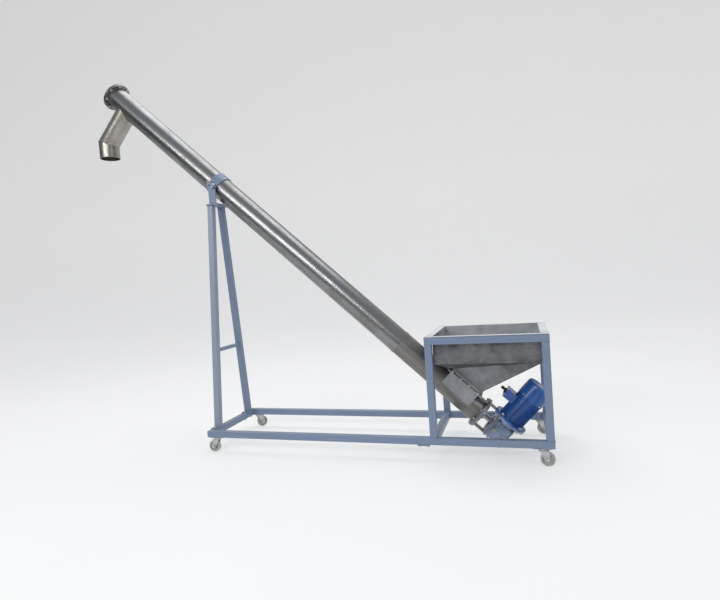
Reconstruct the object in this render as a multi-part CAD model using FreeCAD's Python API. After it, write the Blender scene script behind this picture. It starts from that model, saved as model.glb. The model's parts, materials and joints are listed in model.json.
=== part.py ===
"""Mobile inclined screw conveyor for grain: a tube on a wheeled frame, fed by a hopper.

Millimetres, +Z up, +X towards the hopper and drive end, +Y to the far side.
The design frame has X = 0 on the frame's right end, Y = 0 on the tube's centre plane and
Z = 0 on the floor. The last step moves the whole model so that the middle of its footprint
is at the origin.
"""
import FreeCAD, Part
import math
import os

V = FreeCAD.Vector
os.makedirs("parts", exist_ok=True)

# ---------------------------------------------------------------- driving dimensions
# frame
rail = 40.0                  # square tube of the whole frame, across
rail_wall = 2.5
rail_corner = 4.0            # outer corner radius of the square tube
base_length = 2110.0
frame_depth = 570.0          # over the front and rear rails
stand_width = 655.0          # over the hopper stand's posts
stand_height = 605.0         # underside of base rail to top of the hopper stand
cap_thick = 3.0
splice_length = 70.0         # splice plate under each base rail
splice_thick = 6.0
splice_gap = 4.0             # from the stand's left post to the splice plate

# tube, measured along its axis from its lower end face
tube_angle = 43.0            # degrees above the floor
tube_foot_x = -397.0         # centre of the tube's lower end face
tube_foot_rise = 74.0        # top of the base rails to that centre
tube_length = 3335.0
tube_od = 150.0
tube_wall = 3.0
tube_joint = 633.0           # lower end to the joint of the two lengths
tube_seams = (1560.0, 1797.0, 2102.0)    # lower end to the welds along the upper length
band_width = 18.0
band_wall = 2.5
flange_reach = 23.0          # tube end flanges, out from the tube
flange_thick = 10.0
cover_thick = 8.0            # plate that closes the top end
cover_boss_od = 70.0
cover_boss_length = 22.0
boss_floor = 4.0             # closed end of the boss, outside the top bearing

# screw
screw_pipe_od = 42.0
screw_pipe_wall = 4.0
flight_gap = 2.5             # edge of the flighting to the bore
screw_pitch = 140.0
screw_turns = 23
flight_thick = 3.0
flight_start = 22.0          # lower end of the tube to the first flight
pipe_inset = 12.0            # ends of the tube to the ends of the screw's pipe
plug_length = 60.0           # upper journal's plug in the pipe
spigot_length = 80.0         # drive shaft's spigot in the pipe
journal_end_gap = 2.0        # upper journal's end to the closed end of the boss
journal_od = 30.0
running_gap = 0.06           # radial clearance of a shaft in its bearing
bush_wall = 8.0

# discharge spout
spout_inset = 7.0            # side of the tube to the side of the spout
spout_wall = 2.0
spout_from_top = 140.0       # top end of the tube to the middle of the spout
spout_drop = 309.0           # tube axis to the mitre, square to the tube
spout_outlet = 106.0         # mitre to the open end

# inlet and hopper
chute_low = 80.0             # lower end of the tube to the near end of the inlet
chute_length = 205.0
chute_rise = 16.0            # top of the tube to the top of the inlet's lip
chute_wall = 3.0
lip_width = 20.0             # bolting lip round the inlet
lip_thick = 4.0
hopper_wall = 2.0
hopper_gap = 1.0             # hopper skirt to the rails round it
skirt_depth = 155.0          # top of the stand to the foot of the vertical skirt
neck_height = 16.0           # straight neck above the hopper's bolting lip

# drive
plate_thick = 10.0           # bearing plate bolted to the lower flange
lantern_length = 78.0
lantern_web = 8.0
web_inside = 13.5            # bolt circle to the inside of the lantern's webs
web_bolt_gap = 3.25          # side of the lantern's web to the nearest bolt head
lantern_bore = 80.0
seal_od = 62.0
seal_length = 16.0
seal_stand_out = 4.0         # seal past the bearing plate
gear_half_width = 56.0       # gearbox, half its width along the tube axis
gear_half_height = 72.0      # gearbox, half its length along the motor axis
gear_wheel_side = 72.0       # wheel axis to the back of the housing
centre_distance = 63.0       # wheel axis to worm axis
worm_side = 38.0             # radius of the housing round the worm
gear_corner = 26.0           # rounding of the ribs' corners
rib_height = 8.0             # ribs round the housing, out from its body
rib_thick = 5.0
rib_count = 6
gear_boss_od = 92.0
gear_cover_od = 60.0
gear_cover_depth = 14.0
gear_side_wall = 18.0
gear_end_wall = 12.0
wheel_room = 6.0             # worm wheel to the inside of the housing
worm_room = 8.0              # worm to the inside of its barrel
input_flange_od = 200.0
input_flange_thick = 11.0
motor_face = 96.0            # wheel axis to the joint of gearbox and motor
hub_od = 44.0
shaft_in_gear = 25.0
shaft_stand_out = 4.0        # drive shaft past the gearbox
shoulder_gap = 6.0           # gearbox to the shoulder of the drive shaft
gear_wheel_od = 108.0
gear_wheel_width = 30.0
worm_od = 22.0
worm_gap = 2.0               # worm tips to the wheel's throat
worm_length = 60.0
worm_stem_od = 16.0
shaft_joint = 14.0           # face of the motor to the joint of worm and motor shafts
gear_ratio = 10.0

# motor
motor_od = 155.0
motor_core_od = 138.0
motor_length = 266.0         # flange face to the end of the fan cover
motor_flange_thick = 11.0
fan_cover_length = 84.0
fan_cover_overlap = 14.0     # cover over the ends of the fins
fan_cover_wall = 1.5
fan_cover_corner = 16.0
fan_slot = 5.0               # width of the air slots
fan_start = 16.0             # back wall of the motor to the fan
fan_width = 26.0
fan_od = 120.0
blade_thick = 2.5
motor_shell = 6.0
motor_end_wall = 8.0
winding_room = 22.0          # flange or end wall to the stator
rotor_od = 75.0
air_gap = 0.5
fin_count = 36
fin_thick = 2.6
fin_to_cover = 3.0           # tips of the fins to the outside of the fan cover
motor_shaft_od = 24.0
terminal_box_size = (52.0, 88.0, 50.0)   # along the motor, across it, off it
terminal_box_from_flange = 88.0
lid_thick = 10.0
lid_overhang = 2.0
lid_corner = 6.0
gland_od = 22.0
gland_length = 30.0
gland_nut = 8.0
gland_off_middle = 20.0

# A-frame under the upper end
leg_set_in = 4.0             # left end of the frame to the legs
leg_foot_inset = 55.0        # inner side of the rail to the middle of the leg's foot
leg_head_inset = 32.0        # side of the saddle's base to the middle of the leg's head
saddle_thick = 8.0
saddle_length = 84.0
saddle_gap = 1.8             # tube to the saddle's lower edge
brace_rise = 499.0           # foot of the legs to the brace
brace_size = 22.0
foot_plate_length = 100.0
foot_plate_thick = 6.0
clamp_width = 64.0
clamp_wall = 6.0
lug_thick = 8.0
lug_reach = 32.0
ear_gap = 3.0                # clamp band to the ear beside it
ear_thick = 6.0
ear_width = 52.0
ear_from_leg = 33.6          # middle of the legs to the middle of the ears

# casters
wheel_diameter = 75.0
wheel_face = 24.0
wheel_side_gap = 1.5
caster_trail = 26.0
caster_inset = 65.0          # end of the frame to the swivel axis
fork_thick = 3.0
fork_clear = 8.0             # top of the wheel to the top of the fork's crown
swivel_height = 12.0         # top of the fork's crown to the underside of the rails
race_gap = 0.6               # fork's crown to the fixed race above it
kingpin_od = 12.0
axle_od = 10.0
caster_plate_thick = 3.0
caster_plate_length = 90.0   # as wide as the rail
caster_hub_od = 38.0
headings = {"front_right": 0.0, "front_left": 180.0, "rear_right": 20.0, "rear_left": 55.0}

# bolts, with what sticks out past the seat of the nut
bolt_m10 = 10.0
m10_tail = 14.0
bolt_m8 = 8.0
m8_tail = 9.0

# ---------------------------------------------------------------- what follows from them
fork_crown_z = wheel_diameter + fork_clear
base_z = fork_crown_z + swivel_height
base_top = base_z + rail
stand_top = base_z + stand_height
hopper_bend_z = stand_top - skirt_depth
half_depth = frame_depth / 2
tube_foot_z = base_top + tube_foot_rise
tube_r = tube_od / 2
bore_r = tube_r - tube_wall
screw_od = 2 * (bore_r - flight_gap)
flange_od = tube_od + 2 * flange_reach
spout_od = tube_od - 2 * spout_inset
chute_height = tube_r + chute_rise
post_left = -stand_width
frame_left = -base_length
slope = math.radians(tube_angle)
down_tube = V(math.cos(slope), 0, -math.sin(slope))
square_up = V(math.sin(slope), 0, math.cos(slope))
towards_front = V(0, -1, 0)
tube_foot = V(tube_foot_x, 0, tube_foot_z)
tube_place = FreeCAD.Placement(tube_foot, FreeCAD.Rotation(square_up, towards_front, down_tube, "ZXY"))
bolt_circle_r = (flange_od / 2 + tube_r) / 2
lantern_half = bolt_circle_r - web_inside
m8_corner = 1.7 * bolt_m8 / math.sqrt(3)
lantern_web_width = 2 * (bolt_circle_r * math.sin(math.pi / 8) - m8_corner - web_bolt_gap)
gear_at = plate_thick + lantern_length + gear_half_width
leg_x = frame_left + leg_set_in + rail / 2
leg_foot_y = half_depth - rail - leg_foot_inset
ear_in = tube_r + clamp_wall + ear_gap
ear_out = ear_in + ear_thick
leg_head_y = ear_out - leg_head_inset
ear_x = leg_x + ear_from_leg
clamp_at = (tube_foot_x - lug_thick * math.sin(slope) - ear_x) / math.cos(slope)
saddle_right = leg_x - rail / 2 + saddle_length
tube_under_saddle = tube_foot_z + (tube_foot_x - saddle_right) * math.tan(slope) - tube_r / math.cos(slope)
saddle_z = tube_under_saddle - saddle_gap - saddle_thick

nodes = {}


# ---------------------------------------------------------------- shape helpers
def box(x0, x1, y0, y1, z0, z1):
    return Part.makeBox(x1 - x0, y1 - y0, z1 - z0, V(x0, y0, z0))


def rod(radius, start, end):
    """Solid cylinder between two points."""
    start, end = V(*start), V(*end)
    return Part.makeCylinder(radius, (end - start).Length, start, end - start)


def pipe(outer, inner, start, end):
    return rod(outer, start, end).cut(rod(inner, start, end))


def fused(shapes):
    shapes = list(shapes)
    return shapes[0].multiFuse(shapes[1:]).removeSplitter() if len(shapes) > 1 else shapes[0]


def group(shapes):
    return Part.makeCompound(list(shapes))


def on_tube(shape):
    """Move a shape from the tube's own frame (z down the tube, x square to it and up,
    y to the front) to the design frame."""
    moved = shape.copy()
    moved.Placement = tube_place.multiply(shape.Placement)
    return moved


def at(x, y, z):
    """A point of the tube's own frame, in the design frame."""
    return tube_place.multVec(V(x, y, z))


def prism(points, thickness_vector):
    wire = Part.makePolygon([V(*p) for p in points] + [V(*points[0])])
    return Part.Face(wire).extrude(thickness_vector)


def square_tube(x0, x1, y0, y1, z0, z1):
    """Hollow square tube along its longest side, open at both ends."""
    sizes = (x1 - x0, y1 - y0, z1 - z0)
    run = sizes.index(max(sizes))
    outer = box(x0, x1, y0, y1, z0, z1)
    long_edges = [e for e in outer.Edges if abs(e.Length - sizes[run]) < 1e-6]
    outer = outer.makeFillet(rail_corner, long_edges)
    grow = [-rail_wall] * 3
    grow[run] = 1.0
    inner = box(x0 - grow[0], x1 + grow[0], y0 - grow[1], y1 + grow[1], z0 - grow[2], z1 + grow[2])
    return outer.cut(inner)


def hexagon(across, height, base, axis):
    """Hexagonal prism on a point, along an axis."""
    axis = V(*axis).normalize()
    side = axis.cross(V(0, 0, 1))
    side = V(1, 0, 0) if side.Length < 1e-6 else side.normalize()
    other = axis.cross(side)
    radius = across / math.sqrt(3)
    corners = []
    for k in range(6):
        turn = math.radians(60 * k)
        corners.append(V(*base) + side * (radius * math.cos(turn)) + other * (radius * math.sin(turn)))
    return Part.Face(Part.makePolygon(corners + corners[:1])).extrude(axis * height)


def bolt(size, head_at, tip_at, nut_at=None):
    """Hexagon bolt: its head seats on head_at, and its shank runs to tip_at."""
    head_at, tip_at = V(*head_at), V(*tip_at)
    axis = (tip_at - head_at).normalize()
    across = 1.7 * size
    shapes = [rod(size / 2, head_at, tip_at), hexagon(across, 0.65 * size, head_at, axis * -1)]
    if nut_at is not None:
        shapes.append(hexagon(across, 0.8 * size, V(*nut_at), axis))
    return fused(shapes)


def half_space(point, normal, reach=1500.0):
    """Large block on the side of a plane that its normal points to."""
    block = box(-reach, reach, -reach, reach, 0, reach)
    block.Placement = FreeCAD.Placement(point, FreeCAD.Rotation(V(0, 0, 1), normal))
    return block


# ---------------------------------------------------------------- frame
def base_frame():
    for side, y0 in (("front", -half_depth), ("rear", half_depth - rail)):
        nodes["base_rail_" + side] = square_tube(frame_left, 0, y0, y0 + rail, base_z, base_top)
    inner = half_depth - rail
    for name, x0 in (("left", frame_left), ("mid", post_left), ("right", -rail)):
        nodes["base_cross_" + name] = square_tube(x0, x0 + rail, -inner, inner, base_z, base_top)


def hopper_stand():
    under_top = stand_top - rail
    for side, y0 in (("front", -half_depth), ("rear", half_depth - rail)):
        for end, x0 in (("left", post_left), ("right", -rail)):
            post = square_tube(x0, x0 + rail, y0, y0 + rail, base_top, under_top)
            nodes["stand_post_%s_%s" % (side, end)] = post
        nodes["stand_top_" + side] = square_tube(post_left, 0, y0, y0 + rail, under_top, stand_top)
    inner = half_depth - rail
    for end, x0 in (("left", post_left), ("right", -rail)):
        nodes["stand_top_" + end] = square_tube(x0, x0 + rail, -inner, inner, under_top, stand_top)


def rail_end_caps():
    """Plates welded into the open ends of the lengthwise tubes."""
    inset = rail_wall
    caps = []
    for y0 in (-half_depth, half_depth - rail):
        for z0, left in ((base_z, frame_left), (stand_top - rail, post_left)):
            for x0 in (left, -cap_thick):
                cap = box(x0, x0 + cap_thick, y0 + inset, y0 + rail - inset, z0 + inset, z0 + rail - inset)
                caps.append(cap)
    nodes["rail_end_caps"] = group(caps)


def splice_plates():
    """Plate across the joint of each base rail, under it, just outside the stand."""
    right = post_left - splice_gap
    plates = []
    for y0 in (-half_depth, half_depth - rail):
        plate = box(right - splice_length, right, y0, y0 + rail, base_z - splice_thick, base_z)
        plates.append(plate)
    nodes["splice_plates"] = group(plates)


# ---------------------------------------------------------------- A-frame
leg_foot_z = base_top + foot_plate_thick
brace_z = leg_foot_z + brace_rise


def leg_centre(z):
    """Distance of a leg's middle from the centre plane at a height."""
    share = (z - leg_foot_z) / (saddle_z - leg_foot_z)
    return leg_foot_y + (leg_head_y - leg_foot_y) * share


def leaning_prism(side, half, z0, z1, x0, x1):
    lean = math.atan((leg_foot_y - leg_head_y) / (saddle_z - leg_foot_z))
    reach = half / math.cos(lean)
    y0, y1 = leg_centre(z0), leg_centre(z1)
    outline = [(x0, side * (y0 - reach), z0), (x0, side * (y0 + reach), z0),
               (x0, side * (y1 + reach), z1), (x0, side * (y1 - reach), z1)]
    return prism(outline, V(x1 - x0, 0, 0))


def a_frame_legs():
    half = rail / 2
    for name, side in (("front", -1), ("rear", 1)):
        outer = leaning_prism(side, half, leg_foot_z, saddle_z, leg_x - half, leg_x + half)
        inner_half = half - rail_wall
        inner = leaning_prism(side, inner_half, leg_foot_z - 1, saddle_z + 1,
                              leg_x - inner_half, leg_x + inner_half)
        long_edges = [e for e in outer.Edges if e.Length > rail * 3]
        nodes["a_frame_leg_" + name] = outer.makeFillet(rail_corner, long_edges).cut(inner)


def a_frame_brace():
    half = brace_size / 2
    lean = math.atan((leg_foot_y - leg_head_y) / (saddle_z - leg_foot_z))
    reach = rail / 2 / math.cos(lean)
    low = leg_centre(brace_z - half) - reach
    high = leg_centre(brace_z + half) - reach
    outline = [(leg_x - half, -low, brace_z - half), (leg_x - half, low, brace_z - half),
               (leg_x - half, high, brace_z + half), (leg_x - half, -high, brace_z + half)]
    nodes["a_frame_brace"] = prism(outline, V(brace_size, 0, 0))


def foot_bolt_ys(side):
    middle = leg_centre(leg_foot_z)
    spread = foot_plate_length / 2 - bolt_m10
    return [side * (middle + offset) for offset in (-spread, spread)]


def a_frame_feet():
    feet = []
    for side in (-1, 1):
        middle = side * leg_centre(leg_foot_z)
        half = foot_plate_length / 2
        plate = box(frame_left, frame_left + rail, middle - half, middle + half, base_top, leg_foot_z)
        for y in foot_bolt_ys(side):
            x = frame_left + rail / 2
            plate = plate.cut(rod(bolt_m10 / 2, (x, y, base_top - 1), (x, y, leg_foot_z + 1)))
        feet.append(plate)
    nodes["a_frame_feet"] = group(feet)


def bolt_holes_in_left_cross():
    """The foot bolts go right through the left cross rail."""
    x = frame_left + rail / 2
    shape = nodes["base_cross_left"]
    for side in (-1, 1):
        for y in foot_bolt_ys(side):
            shape = shape.cut(rod(bolt_m10 / 2, (x, y, base_z - 1), (x, y, base_top + 1)))
    nodes["base_cross_left"] = shape


# ---------------------------------------------------------------- clamp and saddle
lug_out = tube_r + clamp_wall + lug_reach
lug_bolt_y = tube_r + clamp_wall + lug_reach * 0.66
lug_bolt_z = (-clamp_at - clamp_width * 0.28, -clamp_at + clamp_width * 0.28)


def clamp_half(up):
    """Half of the pipe clamp: up is +1 for the top half and -1 for the bottom half."""
    z0, z1 = -clamp_at - clamp_width / 2, -clamp_at + clamp_width / 2
    ring = pipe(tube_r + clamp_wall, tube_r, (0, 0, z0), (0, 0, z1))
    keep = box(0, 200, -200, 200, z0 - 1, z1 + 1) if up > 0 else box(-200, 0, -200, 200, z0 - 1, z1 + 1)
    ring = ring.common(keep)
    x0, x1 = (0, lug_thick) if up > 0 else (-lug_thick, 0)
    inside = math.sqrt(tube_r ** 2 - lug_thick ** 2) + clamp_wall / 2
    lugs = [box(x0, x1, side * lug_out, side * inside, z0, z1) if side < 0 else
            box(x0, x1, inside, lug_out, z0, z1) for side in (-1, 1)]
    half = fused([ring] + lugs).cut(rod(tube_r, (0, 0, z0 - 1), (0, 0, z1 + 1)))
    for side in (-1, 1):
        for z in lug_bolt_z:
            half = half.cut(rod(bolt_m10 / 2, (-20, side * lug_bolt_y, z), (20, side * lug_bolt_y, z)))
    return on_tube(half)


def clamp():
    nodes["clamp_upper"] = clamp_half(1)
    nodes["clamp_lower"] = clamp_half(-1)


def saddle_bracket():
    """Base plate on the legs, and an ear up to each lug of the lower clamp half."""
    top = saddle_z + saddle_thick
    base = box(leg_x - rail / 2, saddle_right, -ear_out, ear_out, saddle_z, top)
    lug_plane = half_space(at(-lug_thick, 0, -clamp_at), square_up)
    ears = []
    for side in (-1, 1):
        y0, y1 = sorted((side * ear_in, side * ear_out))
        ear = box(ear_x - ear_width / 2, ear_x + ear_width / 2, y0, y1, top, top + 300)
        ears.append(ear.cut(lug_plane))
    nodes["saddle_bracket"] = fused([base] + ears)


def frame_fasteners():
    bolts = []
    x = frame_left + rail / 2
    for side in (-1, 1):
        for y in foot_bolt_ys(side):
            bolts.append(bolt(bolt_m10, (x, y, leg_foot_z), (x, y, base_z - m10_tail), (x, y, base_z)))
    for side in (-1, 1):
        for z in lug_bolt_z:
            y = side * lug_bolt_y
            shank = bolt(bolt_m10, (lug_thick, y, z), (-lug_thick - m10_tail, y, z), (-lug_thick, y, z))
            bolts.append(on_tube(shank))
    reach = splice_length / 2 - bolt_m10
    middle = post_left - splice_gap - splice_length / 2
    under = base_z - splice_thick
    for y in (-half_depth + rail / 2, half_depth - rail / 2):
        for x in (middle - reach, middle + reach):
            bolts.append(hexagon(1.7 * bolt_m10, 0.65 * bolt_m10, (x, y, under), (0, 0, -1)))
    nodes["frame_fasteners"] = group(bolts)


# ---------------------------------------------------------------- casing
def flange_bolts():
    """Places of the bolts in both tube end flanges, as x and y in the tube's frame."""
    turns = [math.radians(45 * k + 22.5) for k in range(8)]
    return [(bolt_circle_r * math.cos(turn), bolt_circle_r * math.sin(turn)) for turn in turns]


def drilled(shape, z0, z1, size):
    for x, y in flange_bolts():
        shape = shape.cut(rod(size / 2, (x, y, z0 - 1), (x, y, z1 + 1)))
    return shape


def spout_cutter(radius):
    z = -tube_length + spout_from_top
    return rod(radius, (0, 0, z), (-spout_drop - 400, 0, z))


def tube_lengths():
    """The upper length is rolled shells welded end to end; the lower one has the inlet."""
    ends = [tube_joint, *tube_seams, tube_length]
    opening = spout_cutter(spout_od / 2 - spout_wall)
    shells = [pipe(tube_r, bore_r, (0, 0, -far), (0, 0, -near)) for near, far in zip(ends, ends[1:])]
    shells[-1] = shells[-1].cut(opening)
    nodes["tube_upper"] = on_tube(group(shells))
    lower = pipe(tube_r, bore_r, (0, 0, -tube_joint), (0, 0, 0))
    mouth = box(0, tube_r + 1, -tube_r - 1, tube_r + 1, -chute_low - chute_length, -chute_low)
    nodes["tube_lower"] = on_tube(lower.cut(mouth))
    half = band_width / 2
    band = pipe(tube_r + band_wall, tube_r, (0, 0, -tube_joint - half), (0, 0, -tube_joint + half))
    nodes["joint_band"] = on_tube(band)


def tube_flanges():
    rings = []
    for z0 in (-tube_length, -flange_thick):
        ring = pipe(flange_od / 2, tube_r, (0, 0, z0), (0, 0, z0 + flange_thick))
        rings.append(on_tube(drilled(ring, z0, z0 + flange_thick, bolt_m8)))
    nodes["tube_flanges"] = group(rings)


def top_end():
    end = -tube_length
    cover = rod(flange_od / 2, (0, 0, end - cover_thick), (0, 0, end))
    boss_end = end - cover_thick - cover_boss_length
    boss = rod(cover_boss_od / 2, (0, 0, boss_end), (0, 0, end - cover_thick))
    seat = journal_od / 2 + running_gap + bush_wall
    cover = fused([cover, boss]).cut(rod(seat, (0, 0, boss_end + boss_floor), (0, 0, end + 1)))
    nodes["top_end_cover"] = on_tube(drilled(cover, end - cover_thick, end, bolt_m8))
    bush = pipe(seat, journal_od / 2 + running_gap, (0, 0, boss_end + boss_floor), (0, 0, end))
    nodes["top_bearing"] = on_tube(bush)


def discharge_spout():
    """Neck square to the tube, mitred to an outlet that points straight down."""
    radius, inner = spout_od / 2, spout_od / 2 - spout_wall
    z = -tube_length + spout_from_top
    neck = rod(radius, (0, 0, z), (-spout_drop - 200, 0, z)).cut(spout_cutter(inner))
    neck = neck.cut(rod(tube_r, (0, 0, z - 200), (0, 0, z + 200)))
    neck = on_tube(neck)
    mitre = at(-spout_drop, 0, z)
    outlet_end = V(mitre.x, 0, mitre.z - spout_outlet)
    above = V(mitre.x, 0, mitre.z + 200)
    outlet = pipe(radius, inner, above, outlet_end)
    bisector = (square_up * -1 + V(0, 0, -1)).normalize()
    neck = neck.cut(half_space(mitre, bisector))
    outlet = outlet.cut(half_space(mitre, bisector * -1))
    nodes["discharge_spout"] = group([neck, outlet])


def inlet_chute():
    """Flat-sided saddle on the tube's open top, with a bolting lip."""
    z0, z1 = -chute_low - chute_length, -chute_low
    t = chute_wall
    walls = box(0, chute_height, -tube_r, tube_r, z0, z1)
    walls = walls.cut(box(-1, chute_height + 1, -tube_r + t, tube_r - t, z0 + t, z1 - t))
    walls = walls.cut(rod(bore_r, (0, 0, z0 - 1), (0, 0, z1 + 1)))
    lip = box(chute_height - lip_thick, chute_height, -tube_r - lip_width, tube_r + lip_width,
              z0 - lip_width, z1 + lip_width)
    lip = lip.cut(box(0, 200, -tube_r + t, tube_r - t, z0 + t, z1 - t))
    chute = fused([walls, lip])
    for y, z in lip_bolts():
        chute = chute.cut(rod(bolt_m8 / 2, (chute_height - 10, y, z), (chute_height + 10, y, z)))
    nodes["inlet_chute"] = on_tube(chute)


def lip_bolts():
    """Bolt places round the inlet's lip, as y and z in the tube's frame."""
    z0, z1 = -chute_low - chute_length, -chute_low
    y = tube_r + lip_width / 2
    places = [(side * y, z0 + (z1 - z0) * share) for side in (-1, 1) for share in (0.04, 0.35, 0.65, 0.96)]
    places += [(side * tube_r * 0.5, z) for side in (-1, 1) for z in (z0 - lip_width / 2, z1 + lip_width / 2)]
    return places


def skirt_loop(grow, z):
    """Corners of the hopper's vertical part at a height, grown outwards."""
    x0, x1 = post_left + rail + hopper_gap, -rail - hopper_gap
    y1 = half_depth - rail - hopper_gap
    return [V(x0 - grow, -y1 - grow, z), V(x1 + grow, -y1 - grow, z),
            V(x1 + grow, y1 + grow, z), V(x0 - grow, y1 + grow, z)]


def throat_loop(grow, height):
    """Corners of the hopper's foot on the inlet lip, grown outwards."""
    z0, z1 = -chute_low - chute_length - grow, -chute_low + grow
    y = tube_r + grow
    return [at(height, y, z0), at(height, y, z1), at(height, -y, z1), at(height, -y, z0)]


def slope_normal(a, b, c):
    """Unit normal of a wall through three points, on its upper side."""
    normal = (b - a).cross(c - a)
    normal.normalize()
    return normal if normal.z > 0 else normal * -1


def funnel_solid(top, low):
    """Closed polyhedron between the skirt's foot and the throat. Its front and back walls
    have a crease, because the two rectangles aren't parallel."""
    faces = [top, low]
    for a, b in ((1, 2), (3, 0)):
        faces.append([top[a], top[b], low[b], low[a]])
    for a, b in ((0, 1), (2, 3)):
        right, left = (b, a) if a == 0 else (a, b)
        faces.append([top[left], top[right], low[left]])
        faces.append([top[right], low[right], low[left]])
    shells = [Part.Face(Part.makePolygon(list(f) + [f[0]])) for f in faces]
    solid = Part.Solid(Part.Shell(shells))
    return solid if solid.Volume > 0 else solid.reversed()


def funnel_skin():
    """The funnel's sheet. Its shallow walls are a full wall thick, measured square to them, so
    the inside starts further in than the skirt's and its left corners stand above the neck."""
    neck_top = chute_height + lip_thick + neck_height
    top, low = skirt_loop(0, hopper_bend_z), throat_loop(0, neck_top)
    front = slope_normal(top[0], top[1], low[0])
    left = slope_normal(top[3], top[0], low[0])
    right = slope_normal(top[1], top[2], low[2])
    x0, x1 = top[0].x + hopper_wall / abs(left.x), top[1].x - hopper_wall / abs(right.x)
    y1 = top[2].y - hopper_wall / abs(front.y)
    inner_top = [V(x0, -y1, hopper_bend_z), V(x1, -y1, hopper_bend_z),
                 V(x1, y1, hopper_bend_z), V(x0, y1, hopper_bend_z)]
    neck = throat_loop(-hopper_wall, neck_top)
    lift = (hopper_wall - front.dot(neck[0] - low[0])) / front.dot(square_up)
    raised = throat_loop(-hopper_wall, neck_top + lift)
    inner_low = [raised[0], neck[1], neck[2], raised[3]]
    over_neck = prism([neck[0], raised[0], neck[1]], neck[3] - neck[0])
    hollow = funnel_solid(inner_top, inner_low).fuse(over_neck)
    return funnel_solid(top, low).cut(hollow)


def hopper():
    lip = box(post_left, 0, -half_depth, half_depth, stand_top, stand_top + hopper_wall)
    outer = skirt_loop(0, hopper_bend_z)
    inner = skirt_loop(-hopper_wall, hopper_bend_z)
    depth = stand_top + hopper_wall - hopper_bend_z
    skirt = prism(outer, V(0, 0, depth))
    body = fused([lip, skirt]).cut(prism(inner, V(0, 0, depth)))
    nodes["hopper_body"] = body
    z0, z1 = -chute_low - chute_length, -chute_low
    t = hopper_wall
    seat = chute_height + lip_thick
    flange = box(chute_height, seat, -tube_r - lip_width, tube_r + lip_width, z0 - lip_width, z1 + lip_width)
    neck = box(seat, seat + neck_height, -tube_r, tube_r, z0, z1)
    flange = fused([flange, neck])
    flange = flange.cut(box(0, 200, -tube_r + t, tube_r - t, z0 + t, z1 - t))
    for y, z in lip_bolts():
        flange = flange.cut(rod(bolt_m8 / 2, (chute_height - 10, y, z), (chute_height + 10, y, z)))
    nodes["hopper_funnel"] = fused([funnel_skin(), on_tube(flange)])


def casing_bolts():
    bolts = []
    top = -tube_length
    for x, y in flange_bolts():
        bolts.append(bolt(bolt_m8, (x, y, top - cover_thick), (x, y, top + flange_thick + m8_tail),
                          (x, y, top + flange_thick)))
        bolts.append(bolt(bolt_m8, (x, y, plate_thick), (x, y, -flange_thick - m8_tail),
                          (x, y, -flange_thick)))
    for y, z in lip_bolts():
        high, low = chute_height + lip_thick, chute_height - lip_thick
        bolts.append(bolt(bolt_m8, (high, y, z), (low - m8_tail, y, z), (low, y, z)))
    nodes["casing_bolts"] = group(on_tube(b) for b in bolts)


# ---------------------------------------------------------------- screw
def flight_turn():
    """One turn of flighting, a helicoid plate round the pipe."""
    inner, outer = screw_pipe_od / 2, screw_od / 2
    helix = Part.makeHelix(screw_pitch, screw_pitch, inner)
    half = flight_thick / 2
    corners = [V(inner, 0, -half), V(outer, 0, -half), V(outer, 0, half), V(inner, 0, half)]
    profile = Part.makePolygon(corners + corners[:1])
    return Part.Wire(helix).makePipeShell([profile], True, True)


def screw():
    pipe_low, pipe_top = -pipe_inset, -tube_length + pipe_inset
    spigot = screw_pipe_od / 2 - screw_pipe_wall
    body = pipe(screw_pipe_od / 2, spigot, (0, 0, pipe_top), (0, 0, pipe_low))
    plug = rod(spigot, (0, 0, pipe_top), (0, 0, pipe_top + plug_length))
    journal_end = -tube_length - cover_thick - cover_boss_length + boss_floor + journal_end_gap
    journal = rod(journal_od / 2, (0, 0, journal_end), (0, 0, pipe_top))
    nodes["screw_shaft"] = on_tube(fused([body, plug, journal]))
    one = flight_turn()
    turns = []
    for k in range(screw_turns):
        turn = one.copy()
        turn.translate(V(0, 0, -flight_start - (k + 1) * screw_pitch))
        turns.append(on_tube(turn))
    nodes["screw_flights"] = group(turns)


def lower_bearing():
    end = plate_thick + seal_stand_out
    plate = rod(flange_od / 2, (0, 0, 0), (0, 0, plate_thick))
    seat = seal_od / 2
    plate = plate.cut(rod(seat, (0, 0, -1), (0, 0, plate_thick + 1)))
    nodes["bearing_plate"] = on_tube(drilled(plate, 0, plate_thick, bolt_m8))
    bush = pipe(seat, journal_od / 2 + running_gap, (0, 0, end - seal_length), (0, 0, end))
    nodes["lower_bearing"] = on_tube(bush)


def drive_shaft():
    spigot = screw_pipe_od / 2 - screw_pipe_wall
    z_end = gear_at + gear_half_width + shaft_stand_out
    z_seat = gear_at - gear_half_width - shoulder_gap
    shaft = [rod(spigot, (0, 0, -pipe_inset - spigot_length), (0, 0, -pipe_inset)),
             rod(journal_od / 2, (0, 0, -pipe_inset), (0, 0, z_seat)),
             rod(shaft_in_gear / 2, (0, 0, z_seat), (0, 0, z_end))]
    nodes["drive_shaft"] = on_tube(fused(shaft))


# ---------------------------------------------------------------- lantern and gearbox
def lantern():
    """Open spacer between the bearing plate and the gearbox: two plates and two webs."""
    z0, z1 = plate_thick, plate_thick + lantern_length
    outer = lantern_half + lantern_web
    near = rod(bolt_circle_r - bolt_m8 - 1, (0, 0, z0), (0, 0, z0 + lantern_web))
    far = rod(outer + 4, (0, 0, z1 - lantern_web), (0, 0, z1))
    half = lantern_web_width / 2
    webs = [box(-outer, -lantern_half, -half, half, z0, z1), box(lantern_half, outer, -half, half, z0, z1)]
    shell = fused([near, far] + webs)
    shell = shell.cut(rod(lantern_bore / 2, (0, 0, z0 - 1), (0, 0, z1 + 1)))
    nodes["lantern"] = on_tube(shell)


def motor_axis(x0, x1):
    return (x0, centre_distance, gear_at), (x1, centre_distance, gear_at)


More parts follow.
